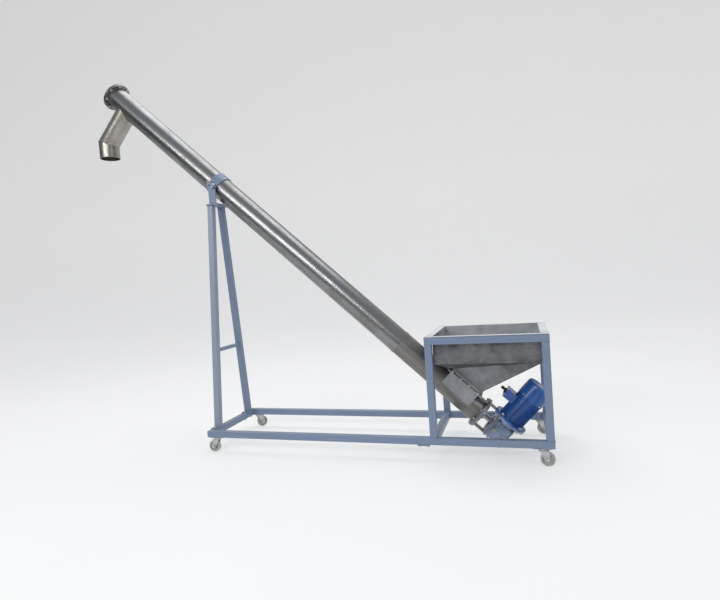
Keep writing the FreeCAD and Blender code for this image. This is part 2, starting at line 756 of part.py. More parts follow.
def gearbox_outline(grow):
    """Side view of the housing: a block round the wheel with the worm's barrel in front."""
    half = gear_half_height + grow
    back, front = -gear_wheel_side - grow, centre_distance + worm_side + grow
    return [(-half, back), (half, back), (half, front), (-half, front)]


def gearbox_housing():
    z0, z1 = gear_at - gear_half_width, gear_at + gear_half_width
    skin = rib_height
    core = [(x, y, z0 + skin) for x, y in gearbox_outline(-skin)]
    body = prism(core, V(0, 0, z1 - z0 - 2 * skin))
    edges = [e for e in body.Edges if abs(e.Length - (z1 - z0 - 2 * skin)) < 1e-6]
    body = body.makeFillet(gear_corner - rib_height / 2, edges)
    ribs = []
    for k in range(rib_count):
        z = z0 + (z1 - z0 - rib_thick) * k / (rib_count - 1)
        plate = prism([(x, y, z) for x, y in gearbox_outline(0)], V(0, 0, rib_thick))
        corners = [e for e in plate.Edges if abs(e.Length - rib_thick) < 1e-6]
        ribs.append(plate.makeFillet(gear_corner, corners))
    flange_back = motor_face - input_flange_thick
    throat = rod(worm_side + 6, *motor_axis(gear_half_height - gear_end_wall, flange_back))
    flange = rod(input_flange_od / 2, *motor_axis(flange_back, motor_face))
    boss = rod(gear_boss_od / 2, (0, 0, z0), (0, 0, z1))
    housing = fused([body, boss, throat, flange] + ribs)
    room = gear_wheel_od / 2 + wheel_room
    housing = housing.cut(rod(room, (0, 0, z0 + gear_side_wall), (0, 0, z1 - gear_side_wall)))
    housing = housing.cut(rod(gear_cover_od / 2, (0, 0, z0 - 1), (0, 0, z1 + 1)))
    barrel = motor_axis(-gear_half_height + gear_end_wall, motor_face + 1)
    housing = housing.cut(rod(worm_od / 2 + worm_room, *barrel))
    nodes["gearbox_housing"] = on_tube(housing)


def gearbox_covers():
    """Flanged bearing covers on both faces of the housing, round the hollow shaft."""
    covers = []
    for side in (-1, 1):
        face = gear_at + side * gear_half_width
        inside = face - side * gear_cover_depth
        cover = rod(gear_cover_od / 2, (0, 0, inside), (0, 0, face))
        cover = cover.cut(rod(hub_od / 2 + running_gap, (0, 0, min(face, inside) - 1),
                              (0, 0, max(face, inside) + 1)))
        covers.append(on_tube(cover))
    nodes["gearbox_covers"] = group(covers)


def worm_wheel():
    """Bronze wheel on its hollow hub. The throat clears the worm all round."""
    half = gear_wheel_width / 2
    wheel = rod(gear_wheel_od / 2, (0, 0, gear_at - half), (0, 0, gear_at + half))
    hub = rod(hub_od / 2, (0, 0, gear_at - gear_half_width + 1), (0, 0, gear_at + gear_half_width - 1))
    blank = fused([wheel, hub])
    ring = Part.makeTorus(centre_distance, worm_od / 2 + worm_gap, V(0, 0, gear_at), V(0, 0, 1))
    blank = blank.cut(ring)
    z0, z1 = gear_at - gear_half_width, gear_at + gear_half_width
    blank = blank.cut(rod(shaft_in_gear / 2, (0, 0, z0), (0, 0, z1)))
    nodes["worm_wheel"] = on_tube(blank)


def worm_shaft():
    worm = rod(worm_od / 2, *motor_axis(-worm_length / 2, worm_length / 2))
    stem_end = -gear_half_height + gear_end_wall + 2
    stem = rod(worm_stem_od / 2, *motor_axis(stem_end, motor_face + shaft_joint))
    nodes["worm_shaft"] = on_tube(fused([worm, stem]))


# ---------------------------------------------------------------- motor
fan_cover_start = motor_face + motor_length - fan_cover_length


def motor_frame():
    face = motor_face + motor_flange_thick
    bore = motor_core_od / 2 - motor_shell
    core = pipe(motor_core_od / 2, bore, *motor_axis(face, fan_cover_start))
    flange = pipe(input_flange_od / 2, motor_shaft_od / 2 + running_gap, *motor_axis(motor_face, face))
    back = pipe(motor_core_od / 2, motor_shaft_od / 2 + running_gap,
                *motor_axis(fan_cover_start - motor_end_wall, fan_cover_start))
    fins = []
    inner, outer = motor_core_od / 2 - motor_shell / 3, motor_od / 2 - fin_to_cover
    for k in range(fin_count):
        fin = box(face, fan_cover_start, -fin_thick / 2, fin_thick / 2, inner, outer)
        fin.rotate(V(0, 0, 0), V(1, 0, 0), 360.0 * k / fin_count)
        fin.translate(V(0, centre_distance, gear_at))
        fins.append(fin)
    nodes["motor_frame"] = on_tube(fused([core, flange, back] + fins))


def motor_inside():
    face = motor_face + motor_flange_thick
    start, end = face + winding_room, fan_cover_start - winding_room
    bore = rotor_od / 2 + air_gap
    stator = pipe(motor_core_od / 2 - motor_shell, bore, *motor_axis(start, end))
    nodes["motor_stator"] = on_tube(stator)
    shaft_end = fan_cover_start + fan_start + fan_width + 2
    shaft = rod(motor_shaft_od / 2, *motor_axis(motor_face + shaft_joint, shaft_end))
    core = rod(rotor_od / 2, *motor_axis(start + 2, end - 2))
    nodes["motor_rotor"] = on_tube(fused([shaft, core]))


def motor_fan():
    start = fan_cover_start + fan_start
    hub_r = motor_shaft_od / 2 + 10
    hub = pipe(hub_r, motor_shaft_od / 2, *motor_axis(start, start + fan_width))
    disc = pipe(fan_od / 2 - 4, hub_r - 2, *motor_axis(start, start + blade_thick))
    blades = []
    half = blade_thick / 2
    for k in range(8):
        blade = box(start, start + fan_width, -half, half, hub_r - 2, fan_od / 2)
        blade.rotate(V(0, 0, 0), V(1, 0, 0), 45.0 * k)
        blade.translate(V(0, centre_distance, gear_at))
        blades.append(blade)
    nodes["motor_fan"] = on_tube(fused([hub, disc] + blades))


def fan_cover():
    end = motor_face + motor_length
    wall = fan_cover_wall
    radius = motor_od / 2
    start = fan_cover_start - fan_cover_overlap
    outer = rod(radius, *motor_axis(start, end))
    rim = [e for e in outer.Edges if abs(e.Length - 2 * math.pi * radius) < 1e-3 and
           abs(e.CenterOfMass.x - end) < 1e-3]
    outer = outer.makeFillet(fan_cover_corner, rim)
    inner = rod(radius - wall, *motor_axis(start - 1, end - wall))
    rim = [e for e in inner.Edges if abs(e.CenterOfMass.x - (end - wall)) < 1e-3]
    inner = inner.makeFillet(fan_cover_corner - wall, rim)
    cover = outer.cut(inner)
    slots = []
    for k in range(16):
        slot = box(end - 8, end + 4, -fan_slot / 2, fan_slot / 2, 20, 54)
        slot.rotate(V(0, 0, 0), V(1, 0, 0), 22.5 * k)
        slot.translate(V(0, centre_distance, gear_at))
        slots.append(slot)
    nodes["motor_fan_cover"] = on_tube(cover.cut(fused(slots)))


def terminal_box():
    """Box on the side of the motor that faces up the tube, with one cable gland."""
    length, width, height = terminal_box_size
    x0 = motor_face + terminal_box_from_flange
    surface = gear_at - motor_core_od / 2 + motor_shell
    middle = centre_distance
    top = gear_at - motor_od / 2 - height
    under_lid = top + lid_thick
    body = box(x0, x0 + length, middle - width / 2, middle + width / 2, under_lid, surface)
    body = body.cut(rod(motor_od / 2, *motor_axis(x0 - 5, x0 + length + 5)))
    half = width / 2 + lid_overhang
    lid = box(x0 - lid_overhang, x0 + length + lid_overhang, middle - half, middle + half, top, under_lid)
    vertical = [e for e in lid.Edges if abs(e.Length - lid_thick) < 1e-6]
    lid = lid.makeFillet(lid_corner, vertical)
    nodes["terminal_box"] = group([on_tube(body), on_tube(lid)])
    gland_x, gland_y = x0 + length / 2, middle - gland_off_middle
    nut = rod(gland_od / 2, (gland_x, gland_y, top - gland_nut), (gland_x, gland_y, top))
    dome = rod(gland_od / 2 - 3, (gland_x, gland_y, top - gland_length), (gland_x, gland_y, top))
    gland = fused([nut, dome])
    nodes["cable_gland"] = on_tube(gland)


# ---------------------------------------------------------------- casters
fork_inner = wheel_face / 2 + wheel_side_gap
wheel_r = wheel_diameter / 2


def caster_places():
    y = half_depth - rail / 2
    left, right = frame_left + caster_inset, -caster_inset
    return {"front_right": (right, -y), "front_left": (left, -y),
            "rear_right": (right, y), "rear_left": (left, y)}


def turned(shape, where, heading):
    """From the caster's own frame, swivel axis at the origin and trail along +X."""
    moved = shape.copy()
    moved.rotate(V(0, 0, 0), V(0, 0, 1), heading)
    moved.translate(V(where[0], where[1], 0))
    return moved


def caster_fork():
    outer = fork_inner + fork_thick
    crown = rod(outer + 3, (0, 0, fork_crown_z - fork_thick), (0, 0, fork_crown_z))
    step = box(0, caster_trail, -outer, outer, fork_crown_z - fork_thick, fork_crown_z)
    cheeks = []
    for y0 in (-outer, fork_inner):
        outline = [(-14, y0, fork_crown_z), (caster_trail + 8, y0, fork_crown_z),
                   (caster_trail + 11, y0, wheel_r - 9), (caster_trail - 11, y0, wheel_r - 9)]
        cheeks.append(prism(outline, V(0, fork_thick, 0)))
    hole = rod(kingpin_od / 2 + running_gap, (0, 0, fork_crown_z - 20), (0, 0, fork_crown_z + 20))
    fork = fused([crown, step] + cheeks).cut(hole)
    axle = bolt(axle_od, (caster_trail, -outer, wheel_r), (caster_trail, outer + 9, wheel_r),
                (caster_trail, outer, wheel_r))
    eye = rod(axle_od / 2, (caster_trail, -outer - 1, wheel_r), (caster_trail, outer + 1, wheel_r))
    return group([fork.cut(eye), axle])


def caster_wheel():
    half = wheel_face / 2
    centre = caster_trail
    tread = rod(wheel_r, (centre, -half, wheel_r), (centre, half, wheel_r))
    rims = [e for e in tread.Edges if abs(e.Length - 2 * math.pi * wheel_r) < 1e-3]
    tread = tread.makeFillet(3, rims)
    for side in (-1, 1):
        y0, y1 = sorted((side * (half - 5), side * (half + 1)))
        recess = pipe(wheel_r - 9, axle_od / 2 + 8, (centre, y0, wheel_r), (centre, y1, wheel_r))
        tread = tread.cut(recess)
    bore = rod(axle_od / 2 + running_gap, (centre, -half - 1, wheel_r), (centre, half + 1, wheel_r))
    return tread.cut(bore)


def casters():
    half = caster_plate_length / 2
    plates = []
    for name, where in caster_places().items():
        nodes["caster_fork_" + name] = turned(caster_fork(), where, headings[name])
        nodes["caster_wheel_" + name] = turned(caster_wheel(), where, headings[name])
        top = base_z - caster_plate_thick
        plate = box(-half, half, -rail / 2, rail / 2, top, base_z)
        race = rod(caster_hub_od / 2, (0, 0, fork_crown_z + race_gap), (0, 0, top))
        kingpin = rod(kingpin_od / 2, (0, 0, fork_crown_z - fork_thick - 3), (0, 0, top))
        plates.append(turned(fused([plate, race, kingpin]), where, 0))
    nodes["caster_plates"] = group(plates)


# ---------------------------------------------------------------- build
base_frame()
hopper_stand()
rail_end_caps()
splice_plates()
a_frame_legs()
a_frame_brace()
a_frame_feet()
bolt_holes_in_left_cross()
clamp()
saddle_bracket()
frame_fasteners()
tube_lengths()
tube_flanges()
top_end()
discharge_spout()
inlet_chute()
hopper()
casing_bolts()
screw()
lower_bearing()
drive_shaft()
lantern()
gearbox_housing()
gearbox_covers()
worm_wheel()
worm_shaft()
motor_frame()
motor_inside()
motor_fan()
fan_cover()
terminal_box()
casters()

extent = FreeCAD.BoundBox()
for shape in nodes.values():
    extent.add(shape.optimalBoundingBox(False, False))
shift = V(-extent.Center.x, -extent.Center.y, -extent.ZMin)
for name, shape in nodes.items():
    shape.translate(shift)
    shape.exportStep("parts/%s.step" % name)
print("nodes", len(nodes), "shift", shift, "size", extent.XLength, extent.YLength, extent.ZLength)
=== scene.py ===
import json
import math

import bmesh
import bpy
from mathutils import Matrix, Vector


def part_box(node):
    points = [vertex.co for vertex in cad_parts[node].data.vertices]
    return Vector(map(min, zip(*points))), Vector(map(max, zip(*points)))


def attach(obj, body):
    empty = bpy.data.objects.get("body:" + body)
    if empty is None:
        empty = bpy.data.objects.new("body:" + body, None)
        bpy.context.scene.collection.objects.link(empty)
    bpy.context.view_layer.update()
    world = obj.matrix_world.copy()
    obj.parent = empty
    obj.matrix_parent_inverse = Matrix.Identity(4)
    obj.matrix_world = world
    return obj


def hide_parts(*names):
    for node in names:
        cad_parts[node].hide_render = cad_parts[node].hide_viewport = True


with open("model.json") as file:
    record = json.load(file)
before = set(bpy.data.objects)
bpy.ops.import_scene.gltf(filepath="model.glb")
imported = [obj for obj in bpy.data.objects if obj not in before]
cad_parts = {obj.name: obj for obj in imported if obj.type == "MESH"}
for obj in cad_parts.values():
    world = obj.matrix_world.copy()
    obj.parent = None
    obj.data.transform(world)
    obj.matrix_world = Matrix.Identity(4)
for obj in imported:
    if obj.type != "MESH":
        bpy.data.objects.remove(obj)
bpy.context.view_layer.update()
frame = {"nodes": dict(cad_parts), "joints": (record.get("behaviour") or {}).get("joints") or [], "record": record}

nodes = frame["nodes"]


# ---------------------------------------------------------------- base frame
# Two long rails and three cross rails of square steel tube, mitred flush and welded, with flat
# caps in the open ends and a splice plate under each rail. The whole frame is sprayed with one
# satin blue-grey paint, which has worn thin at the corners and collected dust on top.
class Socket:
    """A node's output that takes part in arithmetic: each operator adds a Math node."""

    def __init__(self, graph, link):
        self.graph = graph
        self.link = link

    def maths(self, operation, *terms):
        return self.graph.node("ShaderNodeMath", {"operation": operation}, dict(enumerate(terms)))

    def __add__(self, other):
        return self.maths("ADD", self, other)

    def __sub__(self, other):
        return self.maths("SUBTRACT", self, other)

    def __rsub__(self, other):
        return self.maths("SUBTRACT", other, self)

    def __mul__(self, other):
        return self.maths("MULTIPLY", self, other)

    def __truediv__(self, other):
        return self.maths("DIVIDE", self, other)

    def __pow__(self, other):
        return self.maths("POWER", self, other)

    __radd__ = __add__

    def between(self, low, high):
        """0 below low, 1 above high, and straight between them."""
        sockets = {"Value": self, "From Min": low, "From Max": high}
        return self.graph.node("ShaderNodeMapRange", {"clamp": True}, sockets)


class Graph:
    """A node tree under construction."""

    def __init__(self, tree):
        self.tree = tree

    def node(self, kind, settings=None, sockets=None, output=0):
        """Any node: its settings come first, then the values or links of its sockets."""
        made = self.tree.nodes.new(kind)
        for name, value in (settings or {}).items():
            setattr(made, name, value)
        for key, value in (sockets or {}).items():
            if isinstance(value, Socket):
                self.tree.links.new(value.link, made.inputs[key])
            else:
                made.inputs[key].default_value = value
        return Socket(self, made.outputs[output]) if made.outputs else None

    def vector(self, **axes):
        """A vector from numbers or sockets, 0 along any axis left out."""
        return self.node("ShaderNodeCombineXYZ", {}, axes)

    def dot(self, a, b):
        return self.node("ShaderNodeVectorMath", {"operation": "DOT_PRODUCT"}, {0: a, 1: b}, "Value")

    def mix(self, factor, a, b):
        """Blend of two colours."""
        return self.node("ShaderNodeMix", {"data_type": "RGBA"}, {0: factor, 6: a, 7: b}, 2)


class Finish(Graph):
    """A procedural material on a Principled surface."""

    def __init__(self, name):
        self.material = bpy.data.materials.new(name)
        self.material.use_nodes = True
        super().__init__(self.material.node_tree)
        self.surface = self.tree.nodes["Principled BSDF"]
        self.place = self.node("ShaderNodeTexCoord", output="Object")

    def noise(self, scale, detail, rough=0.55, where=None, stretch=(1, 1, 1)):
        sockets = {"Vector": where or self.place, "Scale": stretch}
        where = self.node("ShaderNodeMapping", {}, sockets)
        sockets = {"Vector": where, "Scale": scale, "Detail": detail, "Roughness": rough}
        return self.node("ShaderNodeTexNoise", {}, sockets)

    def cells(self, scale):
        return self.node("ShaderNodeTexVoronoi", {}, {"Vector": self.place, "Scale": scale})

    def bump(self, height, depth, strength):
        sockets = {"Height": height, "Distance": depth, "Strength": strength}
        return self.node("ShaderNodeBump", {}, sockets)

    def along(self, direction):
        """Distance along a direction, from the object's origin."""
        return self.dot(self.place, tuple(direction))

    def facing(self, direction):
        """How much the surface faces a direction, from -1 to 1."""
        return self.dot(self.node("ShaderNodeNewGeometry", output="Normal"), tuple(direction))

    def worn_edge(self, radius):
        """1 within a radius of a sharp edge, 0 on the flat."""
        normal = self.node("ShaderNodeNewGeometry", output="Normal")
        soft = self.node("ShaderNodeBevel", {"samples": 3}, {"Radius": radius})
        return (1.0 - self.dot(normal, soft)).between(0.01, 0.16)

    def skin(self, **sockets):
        """Values and links of the surface: underscores stand for the spaces of socket names."""
        for name, value in sockets.items():
            socket = self.surface.inputs[name.replace("_", " ")]
            if isinstance(value, Socket):
                self.tree.links.new(value.link, socket)
            else:
                socket.default_value = value
        return self.material


def tinted(colour, factor):
    """A colour made lighter or darker."""
    return tuple(min(1, factor * c) for c in colour[:3]) + (1,)


def satin_paint(name, colour, dusty, bare):
    paint = Finish(name)
    patches = paint.noise(2.3, 4.0)
    cloud = paint.noise(11.0, 4.0, where=paint.place)
    speckle = paint.noise(420.0, 2.0)
    shade = paint.mix(patches.between(0.35, 0.7), tinted(colour, 0.93), colour)
    dust = paint.facing((0, 0, 1)).between(0.5, 1.0) * cloud.between(0.35, 0.75) * 0.55
    shade = paint.mix(dust, shade, dusty)
    chips = paint.worn_edge(0.0022) * paint.noise(55.0, 5.0).between(0.52, 0.66)
    shade = paint.mix(chips * 0.8, shade, bare)
    scuff = paint.noise(38.0, 6.0, 0.7, stretch=(1, 1, 0.25)).between(0.66, 0.74)
    shade = paint.mix(scuff * 0.35, shade, dusty)
    rough = 0.36 + patches * 0.12 + dust * 0.3 + chips * 0.2
    height = speckle * 0.25 + cloud * 0.5 - chips * 1.2
    return paint.skin(Base_Color=shade, Roughness=rough, Normal=paint.bump(height, 0.0004, 0.5),
                      IOR=1.5, Coat_Weight=0.12, Coat_Roughness=0.25)


bare_steel = (0.3, 0.3, 0.3, 1)
frame_paint = satin_paint("frame_paint", (0.18, 0.235, 0.35, 1), (0.34, 0.37, 0.41, 1), bare_steel)
leg_paint = satin_paint("leg_paint", (0.26, 0.31, 0.4, 1), (0.5, 0.52, 0.55, 1), bare_steel)


def dress(names, material):
    """Give nodes of the frame their finish."""
    for name in names:
        for skin in nodes[name].material_slots:
            skin.material = material


frame_parts = ("base_", "stand_", "rail_end", "splice_", "a_frame")
dress([n for n in nodes if n.startswith(frame_parts)], frame_paint)


def piece(name, mesh, body, material):
    """A finished piece: its object at the origin, moving with a body of the frame."""
    mesh.materials.append(material)
    made = bpy.data.objects.new(name, mesh)
    bpy.context.scene.collection.objects.link(made)
    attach(made, body)
    return made


def recipe(name, sizes):
    """A geometry node tree with named sizes, as a graph and the sockets of its inputs."""
    tree = bpy.data.node_groups.new(name, "GeometryNodeTree")
    for way in ("OUTPUT", "INPUT"):
        tree.interface.new_socket(name="Geometry", in_out=way, socket_type="NodeSocketGeometry")
    for size in sizes:
        kind = "NodeSocketInt" if size == "Count" else "NodeSocketFloat"
        tree.interface.new_socket(name=size, in_out="INPUT", socket_type=kind)
    tree.interface.new_socket(name="Finish", in_out="INPUT", socket_type="NodeSocketMaterial")
    graph = Graph(tree)
    ports = tree.nodes.new("NodeGroupInput")
    return graph, {port.name: Socket(graph, port) for port in ports.outputs if port.name}


def serve(graph, shape, given):
    """End a recipe: its instances made real, with the finish set."""
    real = graph.node("GeometryNodeRealizeInstances", {}, {0: shape})
    sockets = {"Geometry": real, "Material": given["Finish"]}
    graph.node("NodeGroupOutput", {}, {0: graph.node("GeometryNodeSetMaterial", {}, sockets)})
    return graph.tree


def cook(tree, name, seed, body, slot, **sizes):
    """Run a recipe on a mesh. The result is a plain mesh that moves with a body."""
    made = bpy.data.objects.new(name, seed)
    bpy.context.scene.collection.objects.link(made)
    modifier = made.modifiers.new("recipe", "NODES")
    modifier.node_group = tree
    for item in tree.interface.items_tree:
        if item.in_out == "INPUT" and item.name in sizes:
            modifier[item.identifier] = sizes[item.name]
    bpy.context.view_layer.update()
    seen = made.evaluated_get(bpy.context.evaluated_depsgraph_get())
    mesh = bpy.data.meshes.new_from_object(seen)
    made.modifiers.remove(modifier)
    made.data = mesh
    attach(made, body)
    return made


def weld_recipe():
    """A bead that follows each loop or line of edges, with the ripples of the weld pool."""
    graph, given = recipe("weld_bead", ("Width", "Step", "Ripple"))
    path = graph.node("GeometryNodeMeshToCurve", {}, {"Mesh": given["Geometry"]})
    sockets = {"Curve": path, "Length": given["Step"]}
    path = graph.node("GeometryNodeResampleCurve", {"mode": "LENGTH"}, sockets)
    count = graph.node("GeometryNodeInputIndex")
    wave = count.maths("SINE", count * 2.1) * given["Ripple"]
    drift = graph.node("ShaderNodeTexNoise", {}, {"Scale": 60.0, "Detail": 2.0})
    swell = 1.0 + wave + (drift - 0.5) * 0.5
    sockets = {"Resolution": 8, "Radius": given["Width"] * 0.5}
    ring = graph.node("GeometryNodeCurvePrimitiveCircle", {}, sockets)
    sockets = {"Curve": path, "Profile Curve": ring, "Scale": swell, "Fill Caps": True}
    bead = graph.node("GeometryNodeCurveToMesh", {}, sockets)
    bead = graph.node("GeometryNodeSetShadeSmooth", {}, {"Geometry": bead})
    return serve(graph, bead, given)


weld_bead = weld_recipe()


def paths(name, loops, closed):
    """Mesh of edges only, one loop or line for each list of points."""
    points, edges = [], []
    for loop in loops:
        first = len(points)
        points += [tuple(p) for p in loop]
        edges += [(first + k, first + k + 1) for k in range(len(loop) - 1)]
        if closed:
            edges.append((first + len(loop) - 1, first))
    mesh = bpy.data.meshes.new(name)
    mesh.from_pydata(points, edges, [])
    return mesh


def weld(name, loops, width, step, ripple, finish, slot="stainless", body="frame", closed=True):
    """One piece of weld bead along loops or lines of points."""
    cook(weld_bead, name, paths(name, loops, closed), body, slot,
         Width=width, Step=step, Ripple=ripple, Finish=finish)


def end_loop(node, run, high):
    """The outline of a square tube's end: run is its lengthwise axis, high its far end."""
    low_corner, high_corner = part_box(node)
    across = [k for k in range(3) if k != run]
    loop = []
    for a, b in ((0, 0), (1, 0), (1, 1), (0, 1)):
        point = Vector(high_corner if high else low_corner)
        for side, end in zip(across, (a, b)):
            point[side] = (low_corner, high_corner)[end][side]
        loop.append(point)
    return loop


frame_bead = {"step": 0.0016, "ripple": 0.12, "finish": frame_paint, "slot": "frame_paint"}
frame_weld_width = 0.0048
cross_rails = [n for n in nodes if n.startswith("base_cross_")]
cross_rails += ["stand_top_left", "stand_top_right"]
joints_of_rails = [end_loop(n, 1, high) for n in cross_rails for high in (False, True)]
weld("rail_welds", joints_of_rails, frame_weld_width, **frame_bead)


# ---------------------------------------------------------------- hopper stand
# Four posts between the base rails and a rectangle of top rails, all of the same square tube.
# Each post butts on the rail below and under the rail above, and is welded all round.
posts = [n for n in nodes if n.startswith("stand_post_")]
joints_of_posts = [end_loop(n, 2, high) for n in posts for high in (False, True)]
weld("post_welds", joints_of_posts, frame_weld_width, **frame_bead)


# ---------------------------------------------------------------- A-frame
# Two leaning legs with a square brace between them, on bolted foot plates. The front leg has a
# lighter copy of the frame paint, with paler dust.
dress(["a_frame_leg_front"], leg_paint)


def spread(node, z, slack=1e-4):
    """The least and greatest x and y of a node's points at one height."""
    level = [v.co for v in nodes[node].data.vertices if abs(v.co.z - z) < slack]
    xs, ys = [p.x for p in level], [p.y for p in level]
    return min(xs), max(xs), min(ys), max(ys)


def outline(left, right, front, back, z):
    """A level rectangle's corners, in order."""
    return [(left, front, z), (right, front, z), (right, back, z), (left, back, z)]


def leg_end(node, high):
    """Outline of a leaning leg's cut end, which is level."""
    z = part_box(node)[1 if high else 0].z
    return outline(*spread(node, z), z)


def brace_end(side):
    """Outline of the brace's slanting end on one leg."""
    low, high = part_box("a_frame_brace")
    corners = []
    for z in (low.z, high.z):
        y = spread("a_frame_brace", z)[3 if side > 0 else 2]
        corners += [(low.x, y, z), (high.x, y, z)]
    return [corners[0], corners[1], corners[3], corners[2]]


legs = ("a_frame_leg_front", "a_frame_leg_rear")
leg_loops = [leg_end(n, high) for n in legs for high in (False, True)]
leg_loops += [brace_end(-1), brace_end(1)]
weld("a_frame_welds", leg_loops, frame_weld_width, **frame_bead)


# ---------------------------------------------------------------- saddle, clamp and frame bolts
# A folded saddle on the legs carries the lower half of a steel pipe clamp; the upper half is
# pulled down on the tube by four bolts. Zinc-plated hexagon bolts hold these and the foot plates.
dress(["saddle_bracket", "clamp_upper", "clamp_lower"], frame_paint)


def plated(name, colour, stain, rough):
    zinc = Finish(name)
    grain = zinc.noise(130.0, 5.0, 0.65)
    bloom = zinc.noise(28.0, 4.0)
    spots = zinc.cells(900.0)
    shade = zinc.mix(bloom.between(0.4, 0.7), colour, stain)
    shade = zinc.mix(grain.between(0.62, 0.8) * 0.5, shade, (0.3, 0.27, 0.22, 1))
    return zinc.skin(Base_Color=shade, Metallic=0.92, Roughness=rough + grain * 0.22,
                     Normal=zinc.bump(spots + grain, 0.00012, 0.4))


zinc_plate = plated("zinc_plate", (0.62, 0.62, 0.6, 1), (0.5, 0.49, 0.45, 1), 0.22)


def aimed(graph):
    """The turn that lays an instance's z axis along the point's axis attribute."""
    settings = {"data_type": "FLOAT_VECTOR"}
    axis = graph.node("GeometryNodeInputNamedAttribute", settings, {"Name": "axis"})
    return graph.node("FunctionNodeAlignRotationToVector", {"axis": "Z"}, {"Vector": axis})


def fastener_recipe():
    """A hexagon bolt at each point, along the point's axis attribute: head and washer on one
    side of the joint, and washer, nut and threaded end on the other."""
    graph, given = recipe("hexagon_bolt", ("Size", "Grip", "Tail"))
    size = given["Size"]

    def turned(vertices, low, high, depth, z, spin=0.0):
        sockets = {"Vertices": vertices, "Radius Bottom": low, "Radius Top": high, "Depth": depth}
        cone = graph.node("GeometryNodeMeshCone", {}, sockets)
        sockets = {"Geometry": cone, "Translation": graph.vector(Z=z), "Rotation": graph.vector(Z=spin)}
        return graph.node("GeometryNodeTransform", {}, sockets)

    corner, rim, washer_r = size * 0.98, size * 0.84, size * 1.05
    head, nut, washer, chamfer = size * 0.53, size * 0.68, size * 0.16, size * 0.1
    nut_spin = 0.35
    under = given["Grip"] * -1.0
    nut_low = under - washer - nut
    thread = given["Tail"] - washer - nut
    parts = [
        turned(24, washer_r, washer_r, washer, 0.0),
        turned(6, corner, corner, head, washer),
        turned(6, corner, rim, chamfer, washer + head),
        turned(24, washer_r, washer_r, washer, under - washer),
        turned(6, corner, corner, nut - chamfer, nut_low + chamfer, nut_spin),
        turned(6, rim, corner, chamfer, nut_low, nut_spin),
        turned(12, size * 0.4, size * 0.5, size * 0.1, nut_low - thread),
    ]
    ridge_pitch = thread * 0.2
    rings = graph.node("GeometryNodeMeshLine", {}, {
        "Count": 5, "Start Location": graph.vector(Z=nut_low - thread * 0.9),
        "Offset": graph.vector(Z=ridge_pitch)})
    ridge = turned(12, size * 0.5, size * 0.43, ridge_pitch, 0.0)
    parts.append(graph.node("GeometryNodeInstanceOnPoints", {}, {"Points": rings, "Instance": ridge}))
    join = graph.tree.nodes.new("GeometryNodeJoinGeometry")
    for part in parts:
        graph.tree.links.new(part.link, join.inputs[0])
    turn = graph.node("FunctionNodeRandomValue", {}, {2: 0.0, 3: 1.0, "Seed": 7}, 1)
    sockets = {0: aimed(graph), 1: graph.vector(Z=turn)}
    aim = graph.node("FunctionNodeRotateRotation", {"rotation_space": "LOCAL"}, sockets)
    sockets = {"Points": given["Geometry"], "Instance": Socket(graph, join.outputs[0]), "Rotation": aim}
    return serve(graph, graph.node("GeometryNodeInstanceOnPoints", {}, sockets), given)


hexagon_bolt = fastener_recipe()


def marks(name, places):
    """Mesh of loose points, each with the direction that its fastener's head faces."""
    mesh = bpy.data.meshes.new(name)
    mesh.from_pydata([tuple(p) for p, _ in places], [], [])
    axes = mesh.attributes.new("axis", "FLOAT_VECTOR", "POINT")
    axes.data.foreach_set("vector", [c for _, axis in places for c in axis])
    return mesh


def islands(node):
    """The separate solids of a node, each as a list of its points."""
    shape = bmesh.new()
    shape.from_mesh(nodes[node].data)
    bmesh.ops.remove_doubles(shape, verts=shape.verts, dist=1e-6)
    left = set(shape.verts)
    found = []
    while left:
        reach = [left.pop()]
        points = []
        while reach:
            vertex = reach.pop()
            points.append(vertex.co.copy())
            for edge in vertex.link_edges:
                other = edge.other_vert(vertex)
                if other in left:
                    left.remove(other)
                    reach.append(other)
        found.append(points)
    shape.free()
    return found


joints = {j["name"]: j for j in frame["joints"]}
tube_down = Vector(joints["screw_spin"]["axis"])
tube_foot = Vector(joints["screw_spin"]["pos_m"])
square_up = Vector((-tube_down.z, 0, tube_down.x))
axes_of_bolts = (tube_down, square_up, Vector((0, 0, 1)))


def width_about(points, middle, axis):
    """How far points reach out from an axis through their middle."""
    return max(((p - middle) - axis * (p - middle).dot(axis)).length for p in points)


def bolt_places(node, shank):
    """Where each bolt of a node seats: the seat, the way its head faces, and its length below
    the seat. The head is the end whose last points stand out furthest from the axis."""
    head_depth = 0.65 * shank
    found = []
    for points in islands(node):
        middle = sum(points, Vector()) / len(points)
        spans = []
        for axis in axes_of_bolts:
            heights = [(p - middle).dot(axis) for p in points]
            low, high = min(heights), max(heights)
            spans.append((round(width_about(points, middle, axis), 5), low - high, axis, low, high))
        _, _, axis, low, high = min(spans, key=lambda span: span[:2])
        at_low, at_high = ([p for p in points if abs((p - middle).dot(axis) - end) < 1e-4]
                           for end in (low, high))
        headed_up = width_about(at_high, middle, axis) > width_about(at_low, middle, axis)
        up = 1 if headed_up else -1
        seat = middle + axis * ((high if headed_up else low) - up * head_depth)
        found.append((seat, axis * up, (high - low) - head_depth))
    return found


def bolt_up(node, name, shank, tail):
    """Hexagon bolts in place of a node of plain ones, in one piece for each length. A bolt no
    longer than its tail goes through thin plate."""
    thin_plate = 0.004
    by_length = {}
    for seat, axis, length in bolt_places(node, shank):
        by_length.setdefault(round(length, 4), []).append((seat, axis))
    for k, (length, places) in enumerate(sorted(by_length.items())):
        made = cook(hexagon_bolt, "%s_%d" % (name, k), marks(name, places), "frame", "zinc_plate",
                    Size=shank, Grip=length - tail if length > tail else thin_plate, Tail=tail,
                    Finish=zinc_plate)
        if k == 0:
            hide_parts(node)


m10 = 0.010
bolt_up("frame_fasteners", "frame_bolts", m10, 0.014)

